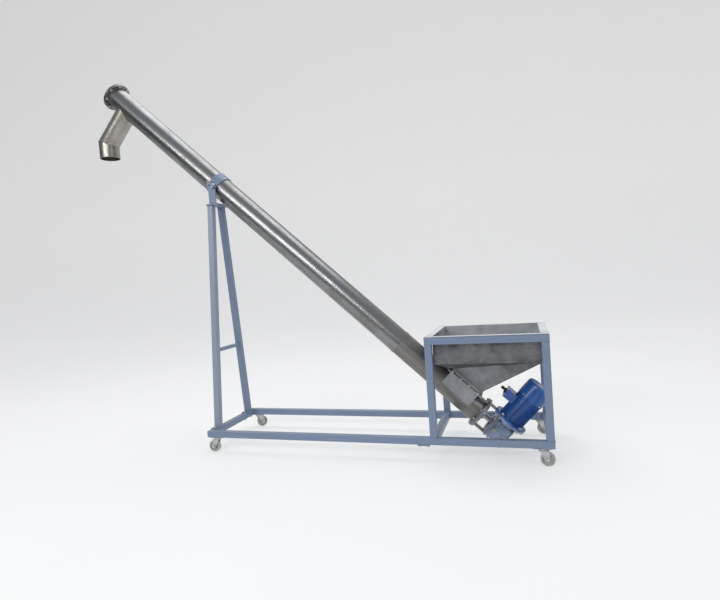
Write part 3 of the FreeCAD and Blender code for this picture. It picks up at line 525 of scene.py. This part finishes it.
ear_low, ear_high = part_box("saddle_bracket")
saddle_base, saddle_ear, past_leg = 0.008, 0.006, 0.03
ear_feet = []
for y in (ear_low.y, ear_low.y + saddle_ear, ear_high.y, ear_high.y - saddle_ear):
    ends = (ear_low.x + past_leg, ear_high.x - saddle_ear)
    ear_feet.append([(x, y, ear_low.z + saddle_base) for x in ends])
weld("saddle_welds", ear_feet, 0.0055, **frame_bead, closed=False)


# ---------------------------------------------------------------- casters
# Swivel casters with a pressed and zinc-plated fork and top plate, and a cast nylon wheel with
# ribbed webs on a bolt for an axle. The top plates are welded under the base rails.
pressed_steel = plated("pressed_steel", (0.56, 0.57, 0.58, 1), (0.45, 0.46, 0.46, 1), 0.28)
dress([n for n in nodes if n.startswith("caster_fork") or n == "caster_plates"], pressed_steel)


def nylon_finish():
    nylon = Finish("nylon_wheel")
    dirt = nylon.noise(34.0, 5.0, 0.7).between(0.42, 0.75)
    fleck = nylon.noise(240.0, 3.0)
    shade = nylon.mix(dirt * 0.7, (0.44, 0.45, 0.42, 1), (0.2, 0.2, 0.18, 1))
    return nylon.skin(Base_Color=shade, Roughness=0.4 + dirt * 0.3, Subsurface_Weight=0.08,
                      Subsurface_Radius=(0.004, 0.004, 0.003),
                      Normal=nylon.bump(fleck + dirt, 0.0002, 0.5))


nylon_wheel = nylon_finish()


def turned_mesh(name, section, centre, axis, steps):
    """Mesh of a turned piece: a section of (radius, height) points is spun round an axis. The
    section is closed, or starts and ends on the axis."""
    crease = math.radians(32)
    axis = Vector(axis).normalized()
    side = axis.orthogonal().normalized()
    other = axis.cross(side)
    shape = bmesh.new()
    rows = []
    for radius, height in section:
        row = []
        for k in range(steps):
            turn = 2 * math.pi * k / steps
            spoke = side * math.cos(turn) + other * math.sin(turn)
            row.append(shape.verts.new(Vector(centre) + axis * height + spoke * radius))
        rows.append(row)
    if section[0][0] > 0:
        rows.append(rows[0])
    for low, high in zip(rows, rows[1:]):
        for k in range(steps):
            shape.faces.new((low[k], low[k - 1], high[k - 1], high[k]))
    bmesh.ops.remove_doubles(shape, verts=shape.verts, dist=1e-6)
    bmesh.ops.dissolve_degenerate(shape, edges=shape.edges, dist=1e-7)
    bmesh.ops.recalc_face_normals(shape, faces=shape.faces)
    for face in shape.faces:
        face.smooth = True
    for edge in shape.edges:
        if len(edge.link_faces) == 2 and edge.calc_face_angle() > crease:
            edge.smooth = False
    mesh = bpy.data.meshes.new(name)
    shape.to_mesh(mesh)
    shape.free()
    return mesh


def rib_recipe():
    """Flat ribs standing round an axis, between two radii."""
    graph, given = recipe("wheel_ribs", ("Count", "Inner", "Outer", "Height", "Thickness"))
    ring = graph.node("GeometryNodeMeshCircle", {}, {"Vertices": given["Count"], "Radius": 0.0})
    middle = (given["Inner"] + given["Outer"]) * 0.5
    size = graph.vector(X=given["Outer"] - given["Inner"], Y=given["Thickness"], Z=given["Height"])
    rib = graph.node("GeometryNodeMeshCube", {}, {"Size": size})
    sockets = {"Geometry": rib, "Translation": graph.vector(X=middle)}
    rib = graph.node("GeometryNodeTransform", {}, sockets)
    turn = graph.node("GeometryNodeInputIndex") * math.tau / given["Count"]
    sockets = {"Points": ring, "Instance": rib, "Rotation": graph.vector(Z=turn)}
    ribs = graph.node("GeometryNodeInstanceOnPoints", {}, sockets)
    sockets = {"Points": given["Geometry"], "Instance": ribs, "Rotation": aimed(graph)}
    return serve(graph, graph.node("GeometryNodeInstanceOnPoints", {}, sockets), given)


wheel_ribs = rib_recipe()


def half_width(node):
    """Half of a node's size across the machine."""
    low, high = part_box(node)
    return (high.y - low.y) / 2


plate_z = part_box("caster_plates")[1].z
plate_weld_end = half_width("base_rail_front") - 0.003
plate_half = 0.045
caster_welds = []
for name in [n[len("caster_wheel_"):] for n in nodes if n.startswith("caster_wheel_")]:
    roll = joints["wheel_roll_" + name]
    centre, axle = Vector(roll["pos_m"]), Vector(roll["axis"])
    tread_r, half, bore_r = centre.z - 1e-4, 0.012, 0.0051
    side = [(tread_r - 0.0028, half), (tread_r - 0.0065, half), (tread_r - 0.0085, half - 0.0055),
            (0.0145, half - 0.0065), (0.0125, half - 0.0005), (bore_r + 0.0012, half),
            (bore_r, half - 0.001)]
    far = [(r, -h) for r, h in reversed(side)]
    crown = [(tread_r - 0.0008, -half + 0.0016), (tread_r, -half + 0.005), (tread_r, half - 0.005),
             (tread_r - 0.0008, half - 0.0016)]
    wheel = turned_mesh("wheel_" + name, side + far + crown, centre, axle, 64)
    wheel_piece = piece("wheel_" + name, wheel, "wheel_" + name, nylon_wheel)
    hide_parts("caster_wheel_" + name)
    for turn, way in (("near", 1), ("far", -1)):
        hub_side = marks("rib_centres", [(centre + axle * way * (half - 0.0045), axle)])
        cook(wheel_ribs, "wheel_ribs_%s_%s" % (name, turn), hub_side, "wheel_" + name, "nylon_wheel",
             Count=8, Inner=0.0135, Outer=tread_r - 0.0075, Height=0.0050, Thickness=0.0018,
             Finish=nylon_wheel)
    swivel = Vector(joints["caster_swivel_" + name]["pos_m"])
    seal_ring = [(0.0165, 0.0004), (0.0205, 0.0004), (0.0222, 0.0018), (0.0222, 0.0042),
                 (0.0205, 0.0058), (0.0196, 0.0058), (0.0196, 0.0012), (0.0165, 0.0012)]
    seal = turned_mesh("swivel_seal_" + name, seal_ring, swivel, (0, 0, 1), 40)
    piece("swivel_seal_" + name, seal, "frame", pressed_steel)
    for x in (swivel.x - plate_half, swivel.x + plate_half):
        ends = (swivel.y - plate_weld_end, swivel.y + plate_weld_end)
        caster_welds.append([(x, y, plate_z) for y in ends])
weld("caster_welds", caster_welds, 0.005, 0.0016, 0.14, frame_paint, "frame_paint", closed=False)


# ---------------------------------------------------------------- tube
# Rolled stainless tube in two lengths, joined by a narrow band near its foot. The shells of the
# upper length are welded end to end and the seams ground back. The outside is buffed in rings
# round the tube and carries handling marks along it.
def along_tube(finish):
    """Distance down the tube from its foot, and the two distances across it."""
    down = finish.along(tube_down) - tube_foot.dot(tube_down)
    up = finish.along(square_up) - tube_foot.dot(square_up)
    across = finish.along((0, 1, 0)) - tube_foot.y
    return down, up, across


def buffed(name, colour, dull, rough, rings=1.0):
    steel = Finish(name)
    down, up, across = along_tube(steel)
    rings_round = steel.vector(X=down * 260.0, Y=up * 5.0, Z=across * 5.0)
    brushing = steel.noise(3.0, 4.0, 0.6, where=rings_round)
    lines_along = steel.vector(X=down * 2.2, Y=up * 26.0, Z=across * 26.0)
    streaks = steel.noise(1.0, 5.0, 0.6, where=lines_along)
    smears = steel.noise(7.0, 5.0, 0.6)
    pits = steel.noise(160.0, 4.0, 0.7).between(0.66, 0.78)
    shade = steel.mix(smears.between(0.35, 0.72), colour, dull)
    shade = steel.mix(streaks.between(0.55, 0.8) * 0.35, shade, (0.3, 0.27, 0.23, 1))
    shade = steel.mix(pits * 0.5, shade, (0.16, 0.14, 0.12, 1))
    roughness = rough + streaks * 0.16 + brushing * 0.07 + smears.between(0.4, 0.7) * 0.1
    height = brushing * 0.6 * rings + smears * 0.8
    return steel.skin(Base_Color=shade, Metallic=1.0, Roughness=roughness,
                      Normal=steel.bump(height, 0.00022, 0.35))


tube_steel = buffed("tube_steel", (0.27, 0.28, 0.29, 1), (0.2, 0.195, 0.185, 1), 0.17)
dull_tube = buffed("dull_tube_steel", (0.25, 0.245, 0.235, 1), (0.18, 0.17, 0.16, 1), 0.26)
end_steel = buffed("end_steel", (0.13, 0.13, 0.128, 1), (0.08, 0.078, 0.075, 1), 0.36, rings=0.4)
dress(["tube_upper", "joint_band"], tube_steel)
dress(["tube_lower", "tube_flanges"], dull_tube)
dress(["top_end_cover"], end_steel)


def tube_ring(distance, radius, steps=72):
    """Points round the tube, at a distance up from its foot."""
    centre = tube_foot - tube_down * distance
    turns = [2 * math.pi * k / steps for k in range(steps)]
    return [centre + square_up * radius * math.cos(t) + Vector((0, radius * math.sin(t), 0))
            for t in turns]


tube_r = half_width("tube_upper")
levels = [round((tube_foot - v.co).dot(tube_down), 4) for v in nodes["tube_upper"].data.vertices]
least_in_ring = 30
ring_levels = sorted(d for d in set(levels) if levels.count(d) > least_in_ring)
tube_top = ring_levels[-1]
seams = [tube_ring(distance, tube_r - 0.0004) for distance in ring_levels[1:-1]]
weld("tube_seams", seams, 0.0026, 0.0012, 0.1, dull_tube)
flange_depth = 0.0105
collars = [tube_ring(distance, tube_r + 0.0006) for distance in (flange_depth, tube_top - flange_depth)]
weld("flange_welds", collars, 0.0048, 0.0014, 0.14, dull_tube)
bolt_up("casing_bolts", "casing_bolts", 0.008, 0.009)


# ---------------------------------------------------------------- spout
# A short neck of thinner stainless sheet, saddled on the tube and mitred to an outlet that
# points straight down. The mitre and the saddle are welded, and the mouth has a rolled edge.
spout_steel = buffed("spout_steel", (0.42, 0.405, 0.375, 1), (0.29, 0.27, 0.24, 1), 0.2, rings=0.3)
dress(["discharge_spout"], spout_steel)
outlet = next(m for m in frame["record"]["mounts"] if m["name"] == "spout_outlet")
mouth = Vector(outlet["pos_m"])
spout_r = half_width("discharge_spout")
spout_from_top = 0.140
neck_foot = tube_foot - tube_down * (tube_top - spout_from_top)
neck_run = (neck_foot.x - mouth.x) / square_up.x
mitre = neck_foot - square_up * neck_run


def mitre_loop(radius, steps=64):
    """The ellipse where the neck meets the outlet."""
    fall = square_up.x / (1 + square_up.z)
    turns = [2 * math.pi * k / steps for k in range(steps)]
    flat = [(radius * math.cos(t), radius * math.sin(t)) for t in turns]
    return [mitre + Vector((x, y, -x * fall)) for x, y in flat]


def saddle_loop(steps=72):
    """The curve where the neck meets the tube."""
    loop = []
    for k in range(steps):
        turn = 2 * math.pi * k / steps
        along, across = spout_r * math.cos(turn), spout_r * math.sin(turn)
        depth = math.sqrt(tube_r ** 2 - across ** 2)
        loop.append(neck_foot + tube_down * along - square_up * depth + Vector((0, across, 0)))
    return loop


weld("spout_saddle_weld", [saddle_loop()], 0.005, 0.0015, 0.14, dull_tube)
weld("spout_mitre_weld", [mitre_loop(spout_r - 0.0006)], 0.0034, 0.0012, 0.12, dull_tube)
rolled_edge = [(spout_r - 0.0026, 0.0006), (spout_r - 0.0018, -0.0004), (spout_r - 0.0004, -0.0004),
               (spout_r + 0.0008, 0.0006), (spout_r + 0.0010, 0.0024), (spout_r + 0.0004, 0.0040),
               (spout_r - 0.0001, 0.0044), (spout_r - 0.0026, 0.0044)]
mouth_roll = turned_mesh("spout_mouth_roll", rolled_edge, mouth, (0, 0, 1), 96)
piece("spout_mouth_roll", mouth_roll, "frame", spout_steel)


# ---------------------------------------------------------------- screw
# A plain pipe with sectional flights of pressed sheet, one turn each, welded on end to end. The
# edges run bright where the grain rubs them. Both ends turn on journals in bronze bushes.
def rubbed(name, colour, grime, rough):
    steel = Finish(name)
    down, up, across = along_tube(steel)
    radius = (up ** 2.0 + across ** 2.0) ** 0.5
    edge = radius.between(0.055, 0.068)
    dusty = steel.noise(18.0, 5.0, 0.6).between(0.4, 0.72) * (1.0 - edge)
    rings_round = steel.vector(X=radius * 900.0, Y=down * 30.0)
    scratches = steel.noise(1.0, 3.0, 0.5, where=rings_round)
    shade = steel.mix(dusty * 0.8, colour, grime)
    return steel.skin(Base_Color=shade, Metallic=1.0, Roughness=rough + dusty * 0.3 + scratches * 0.1,
                      Normal=steel.bump(scratches + dusty, 0.00015, 0.4))


screw_steel = rubbed("screw_steel", (0.55, 0.54, 0.52, 1), (0.4, 0.34, 0.25, 1), 0.24)
shaft_steel = rubbed("shaft_steel", (0.58, 0.58, 0.58, 1), (0.4, 0.38, 0.35, 1), 0.2)
dress(["screw_shaft", "screw_flights"], screw_steel)
dress(["drive_shaft", "worm_shaft"], shaft_steel)


def cast_metal(name, colour, deep, metallic, rough):
    cast = Finish(name)
    grain = cast.noise(380.0, 4.0, 0.7)
    cloud = cast.noise(24.0, 4.0)
    shade = cast.mix(cloud.between(0.3, 0.75), colour, deep)
    shade = cast.mix(grain.between(0.6, 0.8) * 0.4, shade, deep)
    shade = cast.mix(cast.worn_edge(0.0012) * 0.5, shade, tinted(colour, 1.5))
    return cast.skin(Base_Color=shade, Metallic=metallic, Roughness=rough + cloud * 0.15,
                     Normal=cast.bump(grain + cloud * 0.5, 0.00025, 0.5))


bronze = cast_metal("bronze", (0.55, 0.36, 0.16, 1), (0.36, 0.22, 0.1, 1), 1.0, 0.3)
lamination = cast_metal("lamination", (0.25, 0.25, 0.26, 1), (0.12, 0.11, 0.1, 1), 0.8, 0.45)
dress(["worm_wheel", "top_bearing", "lower_bearing"], bronze)
dress(["motor_stator", "motor_rotor"], lamination)
flight_points = [v.co - tube_foot for v in nodes["screw_flights"].data.vertices]
flight_rises = [-p.dot(tube_down) for p in flight_points]
flight_radii = [math.hypot(p.dot(square_up), p.y) for p in flight_points]
pipe_r, pitch, half_sheet = min(flight_radii), 0.140, 0.0021


def flight_phase(hand):
    """How well the flighting's foot fits a helix of one hand, and that helix's phase."""
    x, y, count = 0.0, 0.0, 0
    for point, rise, radius in zip(flight_points, flight_rises, flight_radii):
        if radius < pipe_r + 0.001:
            turn = math.atan2(-point.y, point.dot(square_up)) - hand * 2 * math.pi * rise / pitch
            x, y, count = x + math.cos(turn), y + math.sin(turn), count + 1
    return math.hypot(x, y) / count, math.atan2(y, x), hand


_, phase, hand = max(flight_phase(1), flight_phase(-1))


def flight_foot(side, steps=40):
    """The helix where the flighting meets the pipe, on one face of the sheet."""
    line = []
    low, high = min(flight_rises) + 0.004, max(flight_rises) - 0.004
    for k in range(int((high - low) / pitch * steps)):
        rise = low + k * pitch / steps
        turn = phase + hand * 2 * math.pi * rise / pitch
        spoke = square_up * math.cos(turn) + Vector((0, -math.sin(turn), 0))
        line.append(tube_foot - tube_down * (rise + side * half_sheet) + spoke * (pipe_r + 0.0006))
    return line


weld("flight_weld", [flight_foot(1), flight_foot(-1)], 0.0028, 0.0030, 0.1, screw_steel,
     "screw_steel", "screw", closed=False)


# ---------------------------------------------------------------- inlet and hopper
# The inlet is a flat-sided saddle on the open top of the tube's foot, with a drilled lip. The
# hopper is folded from stainless sheet: a lip over the stand's top rails, a straight skirt, and
# a funnel with welded corners that bolts to the inlet. Its sheets are dull, marked and creased,
# and are painted pale towards the back and on upward faces, as a painted sky reflection.
def sheet_steel(name, colour, dull, rough):
    steel = Finish(name)
    creases = steel.noise(4.2, 3.0, 0.5)
    smears = steel.noise(13.0, 6.0, 0.65)
    rolling = steel.noise(60.0, 4.0, 0.6, stretch=(0.12, 1.0, 1.0))
    drops = steel.cells(70.0).between(0.02, 0.1)
    shade = steel.mix(smears.between(0.38, 0.68), colour, dull)
    shade = steel.mix((1.0 - drops) * 0.3, shade, (0.2, 0.19, 0.175, 1))
    # Painted sky reflection: pale blue-white towards the back (+y) and on faces that point up.
    painted_sky_reflection = steel.along((0, 1, 0)).between(-0.2, 0.12) * 0.85
    painted_sky_reflection = painted_sky_reflection + steel.facing((0, 0, 1)).between(0.85, 0.97)
    shade = steel.mix(painted_sky_reflection * 0.85, shade, (0.78, 0.81, 0.84, 1))
    roughness = rough + smears.between(0.35, 0.7) * 0.2 + rolling * 0.08
    height = creases * 3.0 + rolling * 0.15 + smears * 0.3
    return steel.skin(Base_Color=shade, Metallic=1.0, Roughness=roughness,
                      Normal=steel.bump(height, 0.0012, 0.5))


hopper_steel = sheet_steel("hopper_steel", (0.21, 0.215, 0.23, 1), (0.11, 0.11, 0.115, 1), 0.36)
dress(["hopper_body", "hopper_funnel", "inlet_chute"], hopper_steel)


def reach_along(node, axis, start, high=True):
    """How far a node reaches from a point, along an axis."""
    heights = [(v.co - start).dot(axis) for v in nodes[node].data.vertices]
    return max(heights) if high else min(heights)


skirt_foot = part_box("hopper_body")[0].z
left, right, front, back = spread("hopper_funnel", skirt_foot, slack=2e-4)
neck_height = 0.020
neck_top = reach_along("inlet_chute", square_up, tube_foot) + neck_height
chute_low, chute_high = 0.080, 0.285
seam_steps = 24
corner_seams = []
for x, run in ((left, chute_high), (right, chute_low)):
    for y, way in ((front, -1), (back, 1)):
        top = Vector((x, y, skirt_foot))
        foot = tube_foot - tube_down * run + square_up * neck_top + Vector((0, way * tube_r, 0))
        corner_seams.append([top.lerp(foot, k / seam_steps) for k in range(seam_steps + 1)])
weld("funnel_corner_welds", corner_seams, 0.0040, 0.0014, 0.14, hopper_steel, closed=False)
skirt_ring = outline(left, right, front, back, skirt_foot)
weld("skirt_weld", [skirt_ring], 0.0034, 0.0014, 0.12, hopper_steel)


# ---------------------------------------------------------------- bearing plate and lantern
# A thick steel plate closes the tube's foot and carries the lower bush. An open lantern of two
# plates and two webs stands the gearbox off it, so that leaking grain can't reach the gears.
drive_steel = satin_paint("drive_steel", (0.22, 0.24, 0.27, 1), (0.36, 0.36, 0.36, 1),
                          (0.34, 0.34, 0.33, 1))
dress(["bearing_plate", "lantern"], drive_steel)


# ---------------------------------------------------------------- gearbox
# A die-cast aluminium worm gearbox with ribs round its housing, a round input flange for the
# motor, and bearing covers round its hollow shaft. Two brass oil plugs are on its front face.
gearbox_metal = cast_metal("gearbox_casting", (0.3, 0.37, 0.5, 1), (0.19, 0.23, 0.32, 1), 0.45, 0.4)
dress(["gearbox_housing", "gearbox_covers"], gearbox_metal)
motor_middle, motor_out = (Vector(joints["motor_spin"][key]) for key in ("pos_m", "axis"))
front_side = Vector((0, -1, 0))
gear_middle = motor_middle - front_side * (motor_middle - tube_foot).dot(front_side)
cover_face = reach_along("gearbox_covers", tube_down, gear_middle)
cap_ring = [(0.0225, 0.0), (0.0290, 0.0), (0.0300, 0.0010), (0.0300, 0.0030), (0.0285, 0.0045),
            (0.0240, 0.0045), (0.0225, 0.0030)]
for way, name in ((1, "lower"), (-1, "upper")):
    seat = gear_middle + tube_down * cover_face * way
    cover_ring = turned_mesh("gear_cover_ring", cap_ring, seat, tube_down * way, 48)
    piece("gear_cover_ring_" + name, cover_ring, "frame", gearbox_metal)
barrel = [v.co - gear_middle for v in nodes["gearbox_housing"].data.vertices]
barrel_half = 0.06
front_face = max(p.dot(front_side) for p in barrel if abs(p.dot(motor_out)) < barrel_half)
plug_shape = [(0.0, 0.0058), (0.0035, 0.0058), (0.0037, 0.0085), (0.0068, 0.0085), (0.0078, 0.0075),
              (0.0078, 0.0030), (0.0105, 0.0030), (0.0105, 0.0), (0.0, 0.0)]
plugs = []
for along in (-0.036, 0.036):
    seat = gear_middle + front_side * front_face + tube_down * along
    plugs.append(turned_mesh("oil_plug", plug_shape, seat, front_side, 24))


def merged(name, meshes):
    """One mesh of several."""
    whole = bmesh.new()
    for mesh in meshes:
        whole.from_mesh(mesh)
    made = bpy.data.meshes.new(name)
    whole.to_mesh(made)
    whole.free()
    return made


brass_plug = plated("plug_plate", (0.55, 0.5, 0.36, 1), (0.42, 0.37, 0.26, 1), 0.26)
piece("oil_plugs", merged("oil_plugs", plugs), "frame", brass_plug)

motor_spokes = [tube_down * math.cos(math.radians(a)) + front_side * math.sin(math.radians(a))
                for a in (45, 135, 225, 315)]
flange_face = reach_along("motor_frame", motor_out, motor_middle, high=False)
flange_r, flange_bolt_edge, flange_thick = 0.100, 0.0175, 0.011
flange_middle = motor_middle + motor_out * (flange_face + flange_thick)
flange_bolts = [(flange_middle + spoke * (flange_r - flange_bolt_edge), motor_out)
                for spoke in motor_spokes]
cook(hexagon_bolt, "motor_flange_bolts", marks("motor_flange_bolts", flange_bolts), "frame",
     "zinc_plate", Size=m10, Grip=0.022, Tail=0.013, Finish=zinc_plate)


# ---------------------------------------------------------------- motor
# A foot-less flange motor: ribbed cast frame, pressed fan cover, and a terminal box with one
# cable gland and one blanking plug. All painted gloss blue; the fan and the gland are black.
def gloss_paint(name, colour, deep):
    paint = Finish(name)
    cloud = paint.noise(16.0, 4.0)
    peel = paint.noise(260.0, 2.0)
    shade = paint.mix(cloud.between(0.3, 0.7), colour, deep)
    dust = paint.facing((0, 0, 1)).between(0.3, 1.0) * paint.noise(30.0, 5.0, 0.65).between(0.4, 0.75)
    shade = paint.mix(dust * 0.2, shade, (0.16, 0.22, 0.32, 1))
    chips = paint.worn_edge(0.0009) * paint.noise(140.0, 4.0).between(0.55, 0.68)
    shade = paint.mix(chips * 0.6, shade, (0.22, 0.24, 0.27, 1))
    return paint.skin(Base_Color=shade, Roughness=0.3 + dust * 0.3 + chips * 0.2,
                      Normal=paint.bump(peel + cloud * 0.4, 0.0003, 0.3), Coat_Weight=0.3,
                      Coat_Roughness=0.12)


motor_paint = gloss_paint("motor_paint", (0.014, 0.094, 0.36, 1), (0.009, 0.066, 0.26, 1))
dress(["motor_frame", "motor_fan_cover", "terminal_box"], motor_paint)


def moulded(name, colour):
    plastic = Finish(name)
    grain = plastic.noise(520.0, 3.0)
    dust = plastic.noise(40.0, 4.0).between(0.45, 0.8)
    shade = plastic.mix(dust * 0.25, colour, (0.16, 0.155, 0.15, 1))
    return plastic.skin(Base_Color=shade, Roughness=0.42 + dust * 0.2,
                        Normal=plastic.bump(grain, 0.0001, 0.5))


black_plastic = moulded("black_plastic", (0.014, 0.014, 0.016, 1))
dress(["motor_fan", "cable_gland"], black_plastic)

cover_r = reach_along("motor_fan_cover", tube_down, motor_middle)
cover_start = reach_along("motor_fan_cover", motor_out, motor_middle, high=False)
screw_shape = [(0.0, 0.0008), (0.0012, 0.0008), (0.0013, 0.0026), (0.0036, 0.0022), (0.0046, 0.0010),
               (0.0048, 0.0), (0.0, 0.0)]
screw_edge, screw_sink = 0.007, 0.0002
cover_screws = []
for spoke in motor_spokes:
    seat = motor_middle + motor_out * (cover_start + screw_edge) + spoke * (cover_r - screw_sink)
    cover_screws.append(turned_mesh("cover_screw", screw_shape, seat, spoke, 20))
lid_top = reach_along("terminal_box", -tube_down, motor_middle)
lid_out, lid_side = ((reach_along("terminal_box", axis, motor_middle, high=False) + screw_edge,
                      reach_along("terminal_box", axis, motor_middle) - screw_edge)
                     for axis in (motor_out, front_side))
for out in lid_out:
    for side in lid_side:
        seat = motor_middle - tube_down * lid_top + motor_out * out + front_side * side
        cover_screws.append(turned_mesh("lid_screw", screw_shape, seat, -tube_down, 20))
piece("motor_screws", merged("motor_screws", cover_screws), "frame", zinc_plate)

gland_points = [v.co for v in nodes["cable_gland"].data.vertices]
gland_middle = sum(gland_points, Vector()) / len(gland_points)
gland_seat = gland_middle - tube_down * (lid_top - (gland_middle - motor_middle).dot(-tube_down))
plug_seat = gland_seat - front_side * 2 * (gland_seat - motor_middle).dot(front_side)
blank_shape = [(0.0, 0.0105), (0.0085, 0.0105), (0.0100, 0.0090), (0.0100, 0.0060), (0.0118, 0.0055),
               (0.0118, 0.0), (0.0, 0.0)]
blanking_plug = turned_mesh("blanking_plug", blank_shape, plug_seat, -tube_down, 32)
piece("blanking_plug", blanking_plug, "frame", black_plastic)
rib_height = 0.021
gland_ribs = marks("gland_rib_centre", [(gland_seat - tube_down * rib_height, -tube_down)])
cook(wheel_ribs, "gland_ribs", gland_ribs, "frame", "black_plastic", Count=12, Inner=0.0070,
     Outer=0.0092, Height=0.013, Thickness=0.0016, Finish=black_plastic)


# ---------------------------------------------------------------- floor, lights and camera
# Plain studio: a pale floor that curves up behind the machine, and large soft lights.
def studio_finish():
    plain = Finish("studio_floor")
    mottle = plain.noise(1.4, 2.0)
    shade = plain.mix(mottle, (0.4, 0.4, 0.4, 1), (0.42, 0.42, 0.42, 1))
    return plain.skin(Base_Color=shade, Roughness=0.95, Specular_IOR_Level=0.1,
                      Emission_Color=(1, 1, 1, 1), Emission_Strength=0.52)


sweep = bmesh.new()
floor_back, curve_r = 6.0, 3.0
profile = [(-7.0, 0.0), (floor_back, 0.0)]
for turn in (math.radians(a) for a in range(10, 91, 10)):
    profile.append((floor_back + curve_r * math.sin(turn), curve_r - curve_r * math.cos(turn)))
profile.append((floor_back + curve_r, 20.0))
rows = [[sweep.verts.new((x, y, z)) for x in (-22.0, 22.0)] for y, z in profile]
for low, high in zip(rows, rows[1:]):
    sweep.faces.new((low[0], low[1], high[1], high[0])).smooth = True
floor_mesh = bpy.data.meshes.new("studio_floor")
sweep.to_mesh(floor_mesh)
sweep.free()
floor_mesh.materials.append(studio_finish())
floor = bpy.data.objects.new("studio_floor", floor_mesh)
bpy.context.scene.collection.objects.link(floor)

world = bpy.data.worlds.new("studio")
bpy.context.scene.world = world
world.use_nodes = True
sky = Graph(world.node_tree)
backdrop = world.node_tree.nodes["Background"]
direction = sky.node("ShaderNodeTexCoord", output="Generated")
height = sky.dot(direction, (0, 0, 1)).between(0.1, 0.75)
tint = sky.mix(height, (0.1, 0.1, 0.105, 1), (0.62, 0.65, 0.7, 1))
world.node_tree.links.new(tint.link, backdrop.inputs["Color"])
backdrop.inputs["Strength"].default_value = 0.75


def softbox(name, place, target, size, power, colour=(1, 1, 1)):
    lamp = bpy.data.lights.new(name, "AREA")
    lamp.shape = "RECTANGLE"
    lamp.size, lamp.size_y = size
    lamp.energy = power
    lamp.color = colour
    made = bpy.data.objects.new(name, lamp)
    made.location = place
    made.rotation_euler = (Vector(target) - Vector(place)).to_track_quat("-Z", "Y").to_euler()
    bpy.context.scene.collection.objects.link(made)


softbox("key_light", (-1.6, -5.6, 3.6), (0.0, 0.0, 1.0), (5.0, 0.9), 170.0)
softbox("fill_light", (5.0, -3.0, 2.6), (0.4, 0.0, 0.8), (2.0, 1.2), 45.0, (0.93, 0.96, 1.0))
softbox("top_light", (0.0, 1.0, 5.5), (0.0, 0.0, 0.5), (5.0, 3.0), 110.0)

lens = bpy.data.cameras.new("camera")
lens.sensor_width = 36.0
lens.lens = 25.2
camera = bpy.data.objects.new("camera", lens)
bpy.context.scene.collection.objects.link(camera)
yaw, pitch_angle, roll = 0.314, -0.047, 0.072
post_low, post_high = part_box("stand_post_front_right")
stand_corner = Vector((post_high.x, post_low.y, 0.0))
camera_place = stand_corner + Vector((-0.1156, -2.7446, 1.0656))
camera.matrix_world = (Matrix.Translation(camera_place) @ Matrix.Rotation(yaw, 4, "Z")
                       @ Matrix.Rotation(pitch_angle, 4, "X") @ Matrix.Rotation(roll, 4, "Y")
                       @ Matrix.Rotation(math.pi / 2, 4, "X"))
bpy.context.scene.camera = camera
bpy.context.scene.view_settings.view_transform = "Standard"
